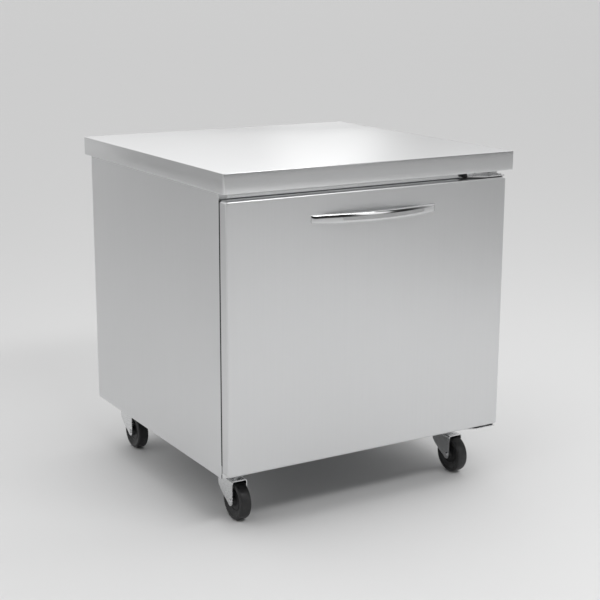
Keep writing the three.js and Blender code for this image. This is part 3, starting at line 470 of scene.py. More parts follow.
def bent_sheet(bm, points, thickness, radius, span, place, segments=5):
    """Sheet folded along a line: points are its middle line in (u, v), span its two ends in w."""
    line = rounded_profile([Vector(p) for p in points], radius, segments)
    clean = [line[0]]
    for point in line[1:]:
        if (point - clean[-1]).length > 1e-6:
            clean.append(point)
    sides = []
    for i, point in enumerate(clean):
        along = (clean[min(i + 1, len(clean) - 1)] - clean[max(i - 1, 0)]).normalized()
        normal = Vector((-along.y, along.x)) * thickness / 2
        sides.append((point + normal, point - normal))
    start, end = span
    loft(bm, [
        [place(*left, start), place(*right, start), place(*right, end), place(*left, end)]
        for left, right in sides
    ])


def tube(bm, points, radius, segments=10, closed=False):
    """A round bar along a line of points."""
    points = [Vector(p) for p in points]
    count = len(points)
    side = None
    rings = []
    for i, point in enumerate(points):
        if closed:
            along = (points[(i + 1) % count] - points[i - 1]).normalized()
        else:
            along = (points[min(i + 1, count - 1)] - points[max(i - 1, 0)]).normalized()
        side = along.orthogonal() if side is None else side - along * side.dot(along)
        side.normalize()
        other = along.cross(side)
        angles = [2 * math.pi * k / segments for k in range(segments)]
        rings.append([point + (side * math.cos(a) + other * math.sin(a)) * radius for a in angles])
    loft(bm, rings, closed=closed)


def perforated(bm, u_range, v_range, holes, depth, place):
    """A flat plate with rectangular holes; place turns (u, v, depth) into a point."""
    cuts_u = sorted({round(u, 7) for u in (*u_range, *[u for hole in holes for u in hole[0]])})
    cuts_v = sorted({round(v, 7) for v in (*v_range, *[v for hole in holes for v in hole[1]])})
    solid = {}
    for i, (u0, u1) in enumerate(zip(cuts_u, cuts_u[1:])):
        for j, (v0, v1) in enumerate(zip(cuts_v, cuts_v[1:])):
            u, v = (u0 + u1) / 2, (v0 + v1) / 2
            solid[i, j] = not any(h[0][0] < u < h[0][1] and h[1][0] < v < h[1][1] for h in holes)
    verts = {}

    def vert(i, j, k):
        if (i, j, k) not in verts:
            verts[i, j, k] = bm.verts.new(place(cuts_u[i], cuts_v[j], depth[k]))
        return verts[i, j, k]

    for (i, j), full in solid.items():
        if not full:
            continue
        corners = [(i, j), (i + 1, j), (i + 1, j + 1), (i, j + 1)]
        for k in (0, 1):
            bm.faces.new([vert(*corner, k) for corner in corners])
        sides = [((i, j - 1), 0, 1), ((i + 1, j), 1, 2), ((i, j + 1), 2, 3), ((i - 1, j), 3, 0)]
        for neighbour, a, b in sides:
            if not solid.get(neighbour, False):
                first, second = corners[a], corners[b]
                bm.faces.new([vert(*first, 0), vert(*second, 0), vert(*second, 1), vert(*first, 1)])


def add_screw(bm, place, axis, radius, height):
    """A pan head with a cross recess, seated at place and facing along axis."""
    axis = Vector(axis).normalized()
    across = axis.orthogonal().normalized()
    other = axis.cross(across)
    count = 32
    arm, half_width, deep = radius * 0.58, radius * 0.13, height * 0.6

    def ring(out, up):
        points = []
        for i in range(count):
            angle = 2 * math.pi * i / count
            spoke = across * math.cos(angle) + other * math.sin(angle)
            points.append(Vector(place) + axis * up + spoke * out(angle))
        return points

    def cross(angle):
        first = min(arm, half_width / max(abs(math.sin(angle)), 1e-6))
        second = min(arm, half_width / max(abs(math.cos(angle)), 1e-6))
        return max(first, second)

    rings = [ring(lambda a: radius, 0.0), ring(lambda a: radius, height * 0.35)]
    for share, up in ((0.93, 0.65), (0.8, 0.87), (0.68, 0.97)):
        rings.append(ring(lambda a, s=share: radius * s, height * up))
    rings.append(ring(cross, height))
    rings.append(ring(lambda a: cross(a) * 0.8, height - deep))
    loft(bm, rings)


def add_hex(bm, place, axis, radius, height, washer=0.0):
    """A hexagon head with a chamfered top, on a washer if it has one."""
    base = 0.0
    if washer:
        base, hole = 0.0012, washer * 0.6
        turn(bm, [(hole, 0.0), (washer, 0.0), (washer, base), (hole, base)], place, axis, 32)
    turn(bm, [(radius, base), (radius, height * 0.8), (radius * 0.86, height)], place, axis, 6, phase=0.5)


def refined(node, finish, body, ease=0.0004, smooth=35.0, round_it=0):
    """A CAD node's own shape with flat faces joined, edges eased and curves smoothed."""
    bm = bmesh.new()
    bm.from_mesh(frame["nodes"][node].data)
    bmesh.ops.remove_doubles(bm, verts=bm.verts, dist=2e-6)
    if round_it:
        bmesh.ops.join_triangles(bm, faces=bm.faces, angle_face_threshold=0.4, angle_shape_threshold=3.1)
    else:
        bmesh.ops.dissolve_limit(bm, angle_limit=math.radians(1.0), verts=bm.verts, edges=bm.edges)
    piece = add_piece(node + "_shape", bm, finish, body, [node], smooth)
    if round_it:
        for edge in piece.data.edges:
            edge.use_edge_sharp = False
        rounding = piece.modifiers.new("round", "SUBSURF")
        rounding.levels = rounding.render_levels = round_it
    elif ease:
        ease_edges(piece, ease)
    return piece


def facing_back(u, v, w):
    """A point of an upright sheet: u across, v up, w towards the back."""
    return Vector((u, w, v))


def upright_ring(low, high, inset, radius, y, segments=8):
    """A rounded rectangle that stands across the cabinet at depth y."""
    return inset_ring(low, high, inset, radius, segments, lambda u, v: Vector((u, y, v)))


def across_up(box):
    """The (x, z) of a box's two corners."""
    return [(corner.x, corner.z) for corner in box]


def paint(node, finish):
    """Gives a carried-over CAD node its finish."""
    mesh = frame["nodes"][node].data
    mesh.materials.clear()
    mesh.materials.append(finishes[finish])


# ---- Cabinet shell -------------------------------------------------------------------------


def make_worktop():
    """A hollow folded top, whose skirt is hemmed inwards over the board core."""
    low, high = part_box("worktop")
    corner, bend, skin, hem = 0.004, 0.0016, 0.0015, 0.050

    def ring(inset, z):
        return inset_ring(low, high, inset, corner, 6, lambda u, v: Vector((u, v, z)))

    rings = [ring(inset, high.z - drop) for inset, drop in quarter(bend, 5)]
    rings += [ring(inset, low.z + drop) for inset, drop in reversed(quarter(bend, 5))]
    rings += [ring(hem, low.z), ring(hem, low.z + skin), ring(skin, low.z + skin), ring(skin, high.z - skin)]
    bm = bmesh.new()
    loft(bm, rings)
    add_piece("worktop_skin", bm, "steel_x", "cabinet", ["worktop"], 30.0)
    paint("worktop_core", "timber")


def make_side_panels():
    for node in ("left_side_panel", "right_side_panel"):
        low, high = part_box(node)
        side = -1 if low.x < 0 else 1
        outer = max(abs(low.x), abs(high.x))
        front_flange = outer - min(abs(low.x), abs(high.x))
        half, bend, rear_flange = 0.0006, 0.002, 0.015
        points = [
            (outer - front_flange, low.y + half),
            (outer - half, low.y + half),
            (outer - half, high.y - half),
            (outer - rear_flange, high.y - half),
        ]
        bm = bmesh.new()
        bent_sheet(bm, points, 2 * half, bend, (low.z, high.z), lambda u, v, w: Vector((side * u, v, w)))
        add_piece(node + "_sheet", bm, "steel_z", "cabinet", [node], 30.0)


def make_face_frame():
    low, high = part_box("face_frame")
    liner_low, liner_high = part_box("inner_liner")
    hole = [
        (liner_low.x + LINER_SKIN, liner_high.x - LINER_SKIN),
        (liner_low.z + LINER_SKIN, liner_high.z - LINER_SKIN),
    ]
    bm = bmesh.new()
    perforated(bm, (low.x, high.x), (low.z, high.z), [hole], (low.y, high.y), facing_back)
    add_piece("face_frame_sheet", bm, "steel_x", "cabinet", ["face_frame"], ease=0.0003)
    low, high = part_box("front_sill")
    bm = bmesh.new()
    middle = (low.y + high.y) / 2
    thick, upturn, bend = 0.0012, 0.008, 0.0012
    front, back, foot, head = low.y + thick / 2, high.y - thick / 2, low.z + thick / 2, high.z - thick / 2
    line = [(back, foot + upturn), (back, foot), (front, foot), (front, head), (middle, head)]
    bent_sheet(bm, line, thick, bend, (low.x, high.x), lambda u, v, w: Vector((w, u, v)))
    add_piece("front_sill_strip", bm, "steel_x", "cabinet", ["front_sill"], 30.0)


def make_base_and_top():
    refined("base_plate", "galvanised", "cabinet")
    refined("top_panel", "galvanised", "cabinet")
    paint("insulation", "foam")


def make_liner():
    """An open box with coved corners and a turned front edge."""
    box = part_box("inner_liner")
    front, back = box[0].y, box[1].y
    skin, cove = LINER_SKIN, 0.012

    def ring(inset, y, radius):
        return upright_ring(*across_up(box), inset, radius + inset, y)

    rings = [ring(0.0, back, cove + skin), ring(0.0, front, cove + skin), ring(skin, front, cove)]
    for inset, drop in reversed(quarter(cove, 6)):
        rings.append(ring(skin + inset, back - skin - drop, max(cove - inset, 0.0005)))
    bm = bmesh.new()
    loft(bm, rings)
    add_piece("inner_liner_box", bm, "aluminium", "cabinet", ["inner_liner"], 30.0)


# ---- Back of the cabinet -------------------------------------------------------------------


def make_rear_cover():
    low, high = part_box("rear_cover")
    inlet_low, inlet_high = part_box("power_inlet")
    columns, rows, length, slot, pitch, spacing, first = 3, 8, 0.190, 0.006, 0.026, 0.230, 0.066
    slots = []
    for column in range(columns):
        middle = (column - (columns - 1) / 2) * spacing
        for row in range(rows):
            foot = low.z + first + row * pitch
            slots.append([(middle - length / 2, middle + length / 2), (foot, foot + slot)])
    ear, lip = 0.0085, 0.0035  # inlet's flange beyond its hole, sideways and up
    mouth = [
        (inlet_low.x + ear, inlet_high.x - ear),
        (inlet_low.z + lip, inlet_high.z - lip),
    ]
    bm = bmesh.new()
    perforated(bm, (low.x, high.x), (low.z, high.z), [*slots, mouth], (low.y, high.y), facing_back)
    add_piece("rear_cover_sheet", bm, "galvanised", "cabinet", ["rear_cover"])
    bm = bmesh.new()
    for (u0, u1), (v0, _) in slots:
        add_louvre(bm, (u0, u1), v0, slot, high.y)
    add_piece("rear_cover_louvres", bm, "galvanised", "cabinet", smooth=50.0)
    bm = bmesh.new()
    inset = 0.012
    left, right = low.x + inset, high.x - inset
    places = [(x, z) for x in (left, 0.0, right) for z in (low.z + inset, high.z - inset)]
    places += [(x, low.z + (high.z - low.z) * share) for x in (left, right) for share in (1 / 3, 2 / 3)]
    for x, z in places:
        add_screw(bm, (x, high.y, z), (0, 1, 0), 0.0042, 0.0024)
    add_piece("rear_cover_screws", bm, "zinc", "cabinet", smooth=30.0)
    refined("power_inlet", "black_plastic", "cabinet", 0.0005)


def add_louvre(bm, across, foot, slot, plane):
    """A pressed hood over a slot, open at its lower side and closed at its ends."""
    reach, thick, height, round_end = 0.0065, 0.0008, slot + 0.006, 0.012
    rows = []
    steps, spans = 6, 10
    for layer in (0.0, thick):
        for i in range(steps + 1):
            angle = math.pi / 2 * i / steps
            out = (reach - layer) * math.cos(angle)
            up = (height - layer) * math.sin(angle)
            row = []
            for k in range(spans + 1):
                x = across[0] + (across[1] - across[0]) * end_biased(k / spans)
                end = min(x - across[0], across[1] - x)
                shrink = math.sqrt(max(0.0, 1 - (1 - min(1.0, end / round_end)) ** 2))
                row.append(bm.verts.new((x, plane + max(out * shrink, 0.0), foot + up)))
            rows.append(row)
    outer, inner = rows[: steps + 1], rows[steps + 1:]
    for sheet in (outer, inner):
        for first, second in zip(sheet, sheet[1:]):
            for k in range(spans):
                bm.faces.new((first[k], first[k + 1], second[k + 1], second[k]))
    for a, b in ((outer[0], inner[0]), (outer[-1], inner[-1])):
        for k in range(spans):
            bm.faces.new((a[k], a[k + 1], b[k + 1], b[k]))
    for k in (0, spans):
        for i in range(steps):
            bm.faces.new((outer[i][k], outer[i + 1][k], inner[i + 1][k], inner[i][k]))


def end_biased(share):
    """Crowds the stations of a row towards its two ends."""
    return 0.5 - 0.5 * math.cos(math.pi * share)


# ---- Door ----------------------------------------------------------------------------------


def make_door():
    """A pan folded from one sheet, its front edges rounded, with everything that swings on it."""
    low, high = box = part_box("door_outer_panel")
    corner, bend, skin, ease = 0.0035, 0.0045, 0.0012, 0.0004

    def ring(inset, y):
        return upright_ring(*across_up(box), inset, corner + bend, y, 6)

    rings = [ring(inset, low.y + drop) for inset, drop in quarter(bend, 6)]
    rings += [ring(0.0, high.y - ease), ring(ease, high.y), ring(skin, high.y), ring(skin, low.y + skin)]
    bm = bmesh.new()
    loft(bm, rings)
    panel = add_piece("door_outer_skin", bm, "steel_z", "door", ["door_outer_panel"], 30.0)
    bore_for_hinge(panel)
    paint("door_insulation", "foam")
    make_door_liner()
    make_gasket()
    make_handle()


def bore_for_hinge(panel):
    """Cuts the two seats of the hinge bushings through the panel's ends."""
    low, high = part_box("top_hinge_bushing")
    centre = (low + high) / 2
    past, radius = 0.01, 0.0073
    foot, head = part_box("bottom_hinge_bushing")[0].z - past, high.z + past
    bm = bmesh.new()
    turn(bm, [(radius, foot), (radius, head)], (centre.x, centre.y, 0.0), (0, 0, 1), 32)
    bmesh.ops.recalc_face_normals(bm, faces=bm.faces)
    mesh = bpy.data.meshes.new("cutter")
    bm.to_mesh(mesh)
    bm.free()
    cutter = bpy.data.objects.new("cutter", mesh)
    scene.collection.objects.link(cutter)
    cut = panel.modifiers.new("hinge_seats", "BOOLEAN")
    cut.operation = "DIFFERENCE"
    cut.solver = "EXACT"
    cut.object = cutter
    bpy.context.view_layer.update()
    evaluated = panel.evaluated_get(bpy.context.evaluated_depsgraph_get())
    bored = bpy.data.meshes.new_from_object(evaluated)
    panel.modifiers.clear()
    panel.data = bored
    bpy.data.objects.remove(cutter)


def make_door_liner():
    """A formed plastic tray: a flat rim, a raised ridge that fills the opening, a sunk middle."""
    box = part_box("door_liner")
    rim_front, rim_back, ridge = box[0].y, box[0].y + 0.001, box[1].y
    opening = across_up(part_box("inner_liner"))
    clear = LINER_SKIN + PLUG_CLEARANCE

    def rim(inset, y):
        return upright_ring(*across_up(box), inset, 0.004, y)

    def raised(inset, y, radius):
        return upright_ring(*opening, clear + inset, radius + clear + inset, y)

    rings = [rim(0.0, rim_front), rim(0.0, rim_back), raised(-0.004, rim_back, 0.026)]
    for inset, drop in ((0.0, 0.003), (0.001, 0.010)):
        rings.append(raised(inset, rim_back + drop, 0.022))
    for inset, drop in reversed(quarter(0.005, 5)):
        rings.append(raised(0.002 + inset, ridge - drop, 0.022))
    for inset, drop in quarter(0.004, 4):
        rings.append(raised(0.034 - inset, ridge - drop, 0.016))
    rings.append(raised(0.036, ridge - 0.0105, 0.014))
    rings.append(raised(0.040, ridge - 0.0125, 0.012))
    bm = bmesh.new()
    loft(bm, rings)
    add_piece("door_liner_tray", bm, "white_plastic", "door", ["door_liner"], 40.0)


def make_gasket():
    """A magnetic seal: a hollow bellows swept round the door with mitred corners."""
    low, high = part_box("door_gasket")
    door_back, cabinet_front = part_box("door_outer_panel")[1].y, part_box("face_frame")[0].y
    width = 0.014
    section = [
        (0.0, 0.0), (0.0, 0.3), (0.0007, 0.42), (0.0007, 0.52), (0.0, 0.64), (0.0, 0.97), (0.0005, 1.0),
        (0.0105, 1.0), (0.0128, 0.94), (width, 0.72), (0.0136, 0.5), (0.0124, 0.36), (width, 0.22),
        (width, 0.0),
    ]
    rings = []
    for inset, share in section:
        y = door_back + (cabinet_front - door_back) * share
        left, right, foot, head = low.x + inset, high.x - inset, low.z + inset, high.z - inset
        corners = ((left, foot), (right, foot), (right, head), (left, head))
        rings.append([Vector((x, y, z)) for x, z in corners])
    bm = bmesh.new()
    loft(bm, rings, closed=True)
    add_piece("door_gasket_seal", bm, "rubber", "door", ["door_gasket"], 50.0)


def make_handle():
    """A bow pull: its outer and inner arcs meet in a flat foot at each end."""
    low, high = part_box("door_handle")
    half, height = (high.x - low.x) / 2, high.z - low.z
    plane, middle = high.y, (low.z + high.z) / 2
    inner_half, band, end = half - 0.025, 0.012, 0.004
    reach = high.y - low.y

    def bow(x, chord, rise):
        if abs(x) >= chord:
            return 0.0
        radius = (chord * chord + rise * rise) / (2 * rise)
        return math.sqrt(radius * radius - x * x) - (radius - rise)

    stations = 72
    rings = []
    for i in range(stations + 1):
        x = -half * math.cos(math.pi * i / stations)
        front = end * (1 - (abs(x) / half) ** 24 * 0.6) + bow(x, half, reach - end)
        rear = bow(x, inner_half, reach - band)
        tall = height * (1 - 0.22 * (abs(x) / half) ** 10)
        thick = front - rear
        radius = min(0.0022, thick * 0.2)
        foot, head = middle - tall / 2, middle + tall / 2
        rings.append(handle_section(x, plane - front, plane - rear, foot, head, radius))
    bm = bmesh.new()
    loft(bm, rings)
    add_piece("door_handle_bow", bm, "chrome", "door", ["door_handle"], 50.0)


# The handle's face leans back towards its top: (lean in degrees, length along the section).
HANDLE_CROWN = [
    (4.0, 0.0014), (9.0, 0.0017), (14.0, 0.0017), (19.0, 0.0017), (25.0, 0.0012), (35.0, 0.0008),
    (48.0, 0.0008), (62.0, 0.0008), (76.0, 0.0007),
]


def handle_section(x, front, rear, low, high, radius, segments=6):
    """One slice across the handle: a flat lower face, the crown, and rounded other corners."""
    steps = [(math.radians(lean), length) for lean, length in HANDLE_CROWN]
    run = sum(length * math.sin(lean) for lean, length in steps)
    rise = sum(length * math.cos(lean) for lean, length in steps)
    squeeze = min(1.0, 0.6 * (rear - front) / run)
    y, z = front, high - rise
    points = [Vector((x, y, z))]
    for lean, length in steps:
        y += length * math.sin(lean) * squeeze
        z += length * math.cos(lean)
        points.append(Vector((x, y, z)))
    corners = [(rear - radius, high - radius, 0.0), (rear - radius, low + radius, -90.0),
               (front + radius, low + radius, -180.0)]
    for y, z, end in corners:
        for i in range(segments + 1):
            angle = math.radians(end + 90.0 * (1.0 - i / segments))
            points.append(Vector((x, y + radius * math.cos(angle), z + radius * math.sin(angle))))
    return points


def turn_hinge_part(node, finish, body, profile, up, closed):
    """A round hinge part, from its outer end (away from the door) to its inner end."""
    low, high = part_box(node)
    centre = (low + high) / 2
    outer, inner = (high.z, low.z) if up > 0 else (low.z, high.z)
    bm = bmesh.new()
    turn(bm, profile(outer, inner, up), (centre.x, centre.y, 0.0), (0, 0, 1), 32, closed=closed)
    add_piece(node + "_turned", bm, finish, body, [node])


def pin_profile(head, tip, up):
    under = head - up * 0.002
    return [
        (0.0006, head), (0.0052, head), (0.0065, head - up * 0.0007), (0.0065, under),
        (0.004, under), (0.004, tip + up * 0.001), (0.003, tip), (0.0006, tip),
    ]


def bushing_profile(outer, inner, up):
    bore, lip = 0.00415, outer - up * 0.0015
    return [
        (bore, outer), (0.0086, outer), (0.009, outer - up * 0.0004), (0.009, lip),
        (0.007, lip), (0.007, inner + up * 0.0006), (0.0064, inner), (bore, inner),
    ]


def make_hinges():
    refined("top_hinge_bracket", "zinc", "cabinet", 0.0005)
    refined("bottom_hinge_bracket", "zinc", "cabinet", 0.0005)
    for part, *look, closed in (
        ("_hinge_pin", "zinc", "cabinet", pin_profile, False),
        ("_hinge_bushing", "black_plastic", "door", bushing_profile, True),
    ):
        for end, up in (("top", 1), ("bottom", -1)):
            turn_hinge_part(end + part, *look, up, closed)
    refined("hinge_stop_block", "black_plastic", "cabinet", 0.0008)
    plate = 0.003
    low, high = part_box("top_hinge_bracket")
    level = (low.z + plate + high.z) / 2 + 0.0005
    bm = bmesh.new()
    for from_end in (0.030, 0.075):
        add_screw(bm, (low.x + from_end, high.y - plate, level), (0, -1, 0), 0.0036, 0.002)
    low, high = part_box("bottom_hinge_bracket")
    for from_end in (0.024, 0.080):
        for from_rear in (0.012, 0.034):
            place = (low.x + from_end, high.y - from_rear, low.z)
            add_screw(bm, place, (0, 0, -1), 0.0045, 0.0026)
    add_piece("hinge_screws", bm, "zinc", "cabinet", smooth=30.0)


# ---- Casters -------------------------------------------------------------------------------


def make_caster(corner):
    plate_low, plate_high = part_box("caster_plate_" + corner)
    _, fork_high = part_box("caster_fork_" + corner)
    wheel_low, wheel_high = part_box("caster_wheel_" + corner)
    pin = Vector(((plate_low.x + plate_high.x) / 2, (plate_low.y + plate_high.y) / 2, 0.0))
    axle = (wheel_low + wheel_high) / 2
    make_caster_plate(corner, pin, plate_low, plate_high, fork_high.z)
    make_fork(corner, pin, axle, fork_high.z)
    make_wheel(corner, axle, wheel_high.z / 2, (wheel_high.x - wheel_low.x) / 2)


def make_caster_plate(corner, pin, low, high, crown):
    """A mounting plate with its bolts, and the ball race and rivet that carry the fork."""
    thick, ease = 0.004, 0.0007
    under = high.z - thick
    bm = bmesh.new()
    rings = []
    for inset, z in ((ease, high.z), (0.0, high.z - ease), (0.0, under + ease), (ease, under)):
        rings.append(inset_ring(low, high, inset, 0.007, 6, lambda u, v: Vector((u, v, z))))
    loft(bm, rings)
    gap = 0.0003
    race = [
        (0.006, under + 0.0005), (0.0255, under + 0.0005), (0.0262, under - 0.002), (0.0255, under - 0.0065),
        (0.0235, under - 0.0085), (0.0205, under - 0.0095), (0.019, under - 0.012), (0.0185, crown + 0.008),
        (0.0205, crown + 0.006), (0.0212, crown + 0.003), (0.0205, crown + gap), (0.006, crown + gap),
    ]
    turn(bm, race, pin, (0, 0, 1), 48)
    below = crown - 0.0025
    rivet = [
        (0.0058, crown + gap + 0.001), (0.0058, below - gap), (0.0100, below - gap), (0.0100, below - 0.0018),
        (0.0088, below - 0.0031), (0.004, below - 0.0033),
    ]
    turn(bm, rivet, pin, (0, 0, 1), 40)
    add_piece("caster_race_" + corner, bm, "zinc", "cabinet", ["caster_plate_" + corner])
    bm = bmesh.new()
    reach = (high.x - low.x) / 2 - 0.0085
    for sx in (-1, 1):
        for sy in (-1, 1):
            add_hex(bm, (pin.x + sx * reach, pin.y + sy * reach, under), (0, 0, -1), 0.0052, 0.0048, 0.0068)
    add_piece("caster_bolts_" + corner, bm, "zinc", "cabinet", smooth=30.0)


def make_fork(corner, pin, axle, crown):
    """A yoke folded from one sheet: two cheeks that narrow to a round tip, and a crown."""
    half, sheet, bend = 0.0205, 0.0025, 0.0042
    tip, shoulder = 0.012, 0.025
    front, rear = pin.y - 0.044, pin.y + 0.028
    middle = half - sheet / 2
    top = crown - sheet / 2

    def edges(z):
        low = axle.z - z
        reach = math.sqrt(max(tip * tip - low * low, 0.0))
        front_edge = axle.y - reach if low > 0 else front
        join_y, join_z = axle.y + tip * 0.809, axle.z - tip * 0.588
        knee_z = crown - shoulder
        if z < join_z:
            rear_edge = axle.y + reach
        elif z < knee_z:
            share = (z - join_z) / (knee_z - join_z)
            rear_edge = join_y + (rear - join_y) * (share + 0.10 * math.sin(math.pi * share))
        else:
            rear_edge = rear
        return front_edge, rear_edge

    heights = [axle.z - tip * math.cos(math.pi / 2 * i / 8) for i in range(9)]
    heights[0] += 0.00002
    heights += [axle.z + (top - bend - axle.z) * i / 14 for i in range(1, 15)]
    path = [(-middle, z, Vector((-1.0, 0.0))) for z in heights]
    for i in range(1, 7):
        angle = math.pi / 2 * i / 6
        normal = Vector((-math.cos(angle), math.sin(angle)))
        path.append((-middle + bend + normal.x * bend, top - bend + normal.y * bend, normal))
    path = path + [(-x, z, Vector((-n.x, n.y))) for x, z, n in reversed(path)]
    rings = []
    for x, z, normal in path:
        front_edge, rear_edge = edges(min(z, crown))
        out = normal * sheet / 2
        skins = [(1, front_edge), (1, rear_edge), (-1, rear_edge), (-1, front_edge)]
        rings.append([Vector((pin.x + x + face * out.x, y, z + face * out.y)) for face, y in skins])
    bm = bmesh.new()
    loft(bm, rings)
    body = "swivel_" + corner
    add_piece("caster_yoke_" + corner, bm, "zinc", body, ["caster_fork_" + corner], 35.0, 0.0004)
    bm = bmesh.new()
    turn(bm, [(0.004, -half), (0.004, half)], axle, (1, 0, 0), 32)
    add_hex(bm, axle + Vector((half, 0, 0)), (1, 0, 0), 0.0062, 0.0024)
    add_hex(bm, axle - Vector((half, 0, 0)), (-1, 0, 0), 0.0062, 0.0024)
    add_piece("caster_axle_" + corner, bm, "zinc", body, smooth=30.0)


def make_wheel(corner, axle, radius, hub_half):
    """A solid tyre on a moulded core with a stepped web."""
    body = "wheel_" + corner
    tread_half = hub_half - 0.002
    rim, edge = radius * 0.8, 0.0055
    tyre = [(rim - 0.001, -tread_half + 0.0022), (rim, -tread_half + 0.0008), (rim + 0.0012, -tread_half)]
    for i in range(9):
        angle = math.pi / 2 * i / 8
        out, across = edge * math.sin(angle), edge * (1 - math.cos(angle))
        tyre.append((radius - edge - 0.0006 + out, -tread_half + across))
    tyre.append((radius, -tread_half * 0.3))
    tyre = tyre + [(r, -x) for r, x in reversed(tyre)]
    bm = bmesh.new()
    turn(bm, tyre, axle, (1, 0, 0), 96, closed=True)
    add_piece("caster_tyre_" + corner, bm, "tread", body, ["caster_wheel_" + corner], 50.0)
    bore = 0.0043
    core = [
        (bore, -hub_half), (0.0085, -hub_half), (0.0105, -hub_half + 0.0008), (0.0120, -hub_half + 0.003),
        (0.0130, -tread_half + 0.0052), (0.0160, -tread_half + 0.0062), (0.0225, -tread_half + 0.0062),
        (0.0232, -tread_half + 0.0050), (0.0248, -tread_half + 0.0050), (0.0255, -tread_half + 0.0062),
        (0.0315, -tread_half + 0.0058), (0.0345, -tread_half + 0.0030), (rim - 0.0012, -tread_half + 0.0024),
    ]
    core = core + [(r, -x) for r, x in reversed(core)]
    bm = bmesh.new()
    turn(bm, core, axle, (1, 0, 0), 80, closed=True)
    add_piece("caster_core_" + corner, bm, "black_plastic", body, smooth=40.0)


# ---- Inside the cabinet --------------------------------------------------------------------


def make_shelf(node):
    """A wire shelf: a round rim, two cross bars and the wires that are bent down over the rim."""
    low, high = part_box(node)
    rim, bar, wire = 0.0032, 0.0029, 0.0018
    level = low.z + rim
    bm = bmesh.new()
    ring = rounded_ring((low.x + rim, low.y + rim), (high.x - rim, high.y - rim), 0.012, 6,
                        lambda u, v: Vector((u, v, level)))
    tube(bm, ring, rim, 12, closed=True)
    for share in (0.32, 0.68):
        y = low.y + (high.y - low.y) * share
        tube(bm, [(low.x + rim, y, level), (high.x - rim, y, level)], bar, 10)
    wires = 26
    top = high.z - wire
    for i in range(wires):
        x = low.x + 0.018 + (high.x - low.x - 0.036) * i / (wires - 1)
        front, rear = low.y + wire, high.y - wire
        points = [(x, front, level), (x, front + 0.0008, top - 0.0015), (x, front + 0.003, top),
                  (x, rear - 0.003, top), (x, rear - 0.0008, top - 0.0015), (x, rear, level)]
        tube(bm, points, wire, 8)
    add_piece(node + "_wires", bm, "epoxy_wire", node, [node], 60.0)


def make_pilaster(corner):
    """A slotted channel with one clip under each shelf."""
    node = "pilaster_" + corner
    low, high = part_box(node)
    side = -1 if low.x < 0 else 1
    outer = max(abs(low.x), abs(high.x))
    face = outer - 0.007
    skin = 0.0015
    slots = []
    end, margin, slot, pitch = 0.018, 0.006, 0.004, 0.025
    z = low.z + end
    while z < high.z - end:
        slots.append([(low.y + margin, high.y - margin), (z, z + slot)])
        z += pitch

    def sideways(u, v, w):
        return Vector((side * w, u, v))

    bm = bmesh.new()
    perforated(bm, (low.y, high.y), (low.z, high.z), slots, (face, face + skin), sideways)
    for y0 in (low.y, high.y - skin):
        a, b = Vector((side * face, y0, low.z)), Vector((side * outer, y0 + skin, high.z))
        add_box(bm, Vector(map(min, a, b)), Vector(map(max, a, b)))
    add_piece(node + "_strip", bm, "aluminium", "cabinet", [node], ease=0.0002)
    bm = bmesh.new()
    width = low.y + 0.0035, high.y - 0.0035
    for shelf in ("lower_shelf", "upper_shelf"):
        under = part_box(shelf)[0].z - 0.0003
        seat = [(-0.0135, -0.0005), (-0.001, -0.0006), (0.0045, -0.0006)]
        web = [(-0.0125, -0.0015), (-0.0008, -0.0085), (0.0040, -0.0085)]
        for line, bend in ((seat, 0.001), (web, 0.002)):
            line = [(face + out, under + up) for out, up in line]
            bent_sheet(bm, line, 0.0012, bend, width, lambda u, v, w: Vector((side * u, w, v)))
    add_piece(node + "_clips", bm, "zinc", "cabinet", smooth=40.0)


def fan_blades(bm, hub, radius, centre, pitch, count, chord, thickness):
    """Twisted blades about the y axis, each a curved sheet."""
    stations, across = 8, 6
    for blade in range(count):
        turn_by = 2 * math.pi * blade / count
        layers = []
        for face in (-0.5, 0.5):
            grid = []
            for i in range(stations + 1):
                share = i / stations
                out = hub * 0.85 + (radius - hub * 0.85) * share
                twist = math.radians(pitch * (1.35 - 0.6 * share))
                width = chord * (0.62 + 0.55 * share - 0.35 * max(0.0, share - 0.7) ** 2 * 11)
                row = []
                for k in range(across + 1):
                    t = k / across - 0.5
                    swept = t * width + 0.10 * radius * share * share
                    camber = (0.25 - t * t) * width * 0.16
                    angle = turn_by + swept * math.cos(twist) / out
                    y = swept * math.sin(twist) + camber + face * thickness
                    reach = out if share < 1 else out * (1 - 0.06 * (2 * t) ** 4)
                    spoke = Vector((reach * math.cos(angle), y, reach * math.sin(angle)))
                    row.append(bm.verts.new(centre + spoke))
                grid.append(row)
            layers.append(grid)
        for grid in layers:
            for a, b in zip(grid, grid[1:]):
                for k in range(across):
                    bm.faces.new((a[k], a[k + 1], b[k + 1], b[k]))
        first, second = layers
        for i in range(stations):
            for k in (0, across):
                bm.faces.new((first[i][k], first[i + 1][k], second[i + 1][k], second[i][k]))
        for i in (0, stations):
            for k in range(across):
                bm.faces.new((first[i][k], first[i][k + 1], second[i][k + 1], second[i][k]))


def axis_at(body, y):
    """The point at depth y on the axis that a body turns about."""
    joint = [j for j in frame["joints"] if j["child"] == body][0]
    return Vector((joint["pos_m"][0], y, joint["pos_m"][2]))


def make_fan(node, body, finish, radius):
    """A hub with four blades."""
    low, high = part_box(node)
    bore, hub, half = 0.0042, 0.015, 0.009
    centre = axis_at(body, (low.y + high.y) / 2)
    bm = bmesh.new()
    profile = [(bore, -half), (hub - 0.002, -half), (hub, -half + 0.002), (hub, half - 0.001),
               (hub - 0.001, half), (bore, half)]
    turn(bm, profile, centre, (0, 1, 0), 40, closed=True)
    fan_blades(bm, hub, radius * 0.985, centre, 26.0, 4, radius * 0.86, 0.0014)
    add_piece(node + "_formed", bm, finish, body, [node], 40.0)


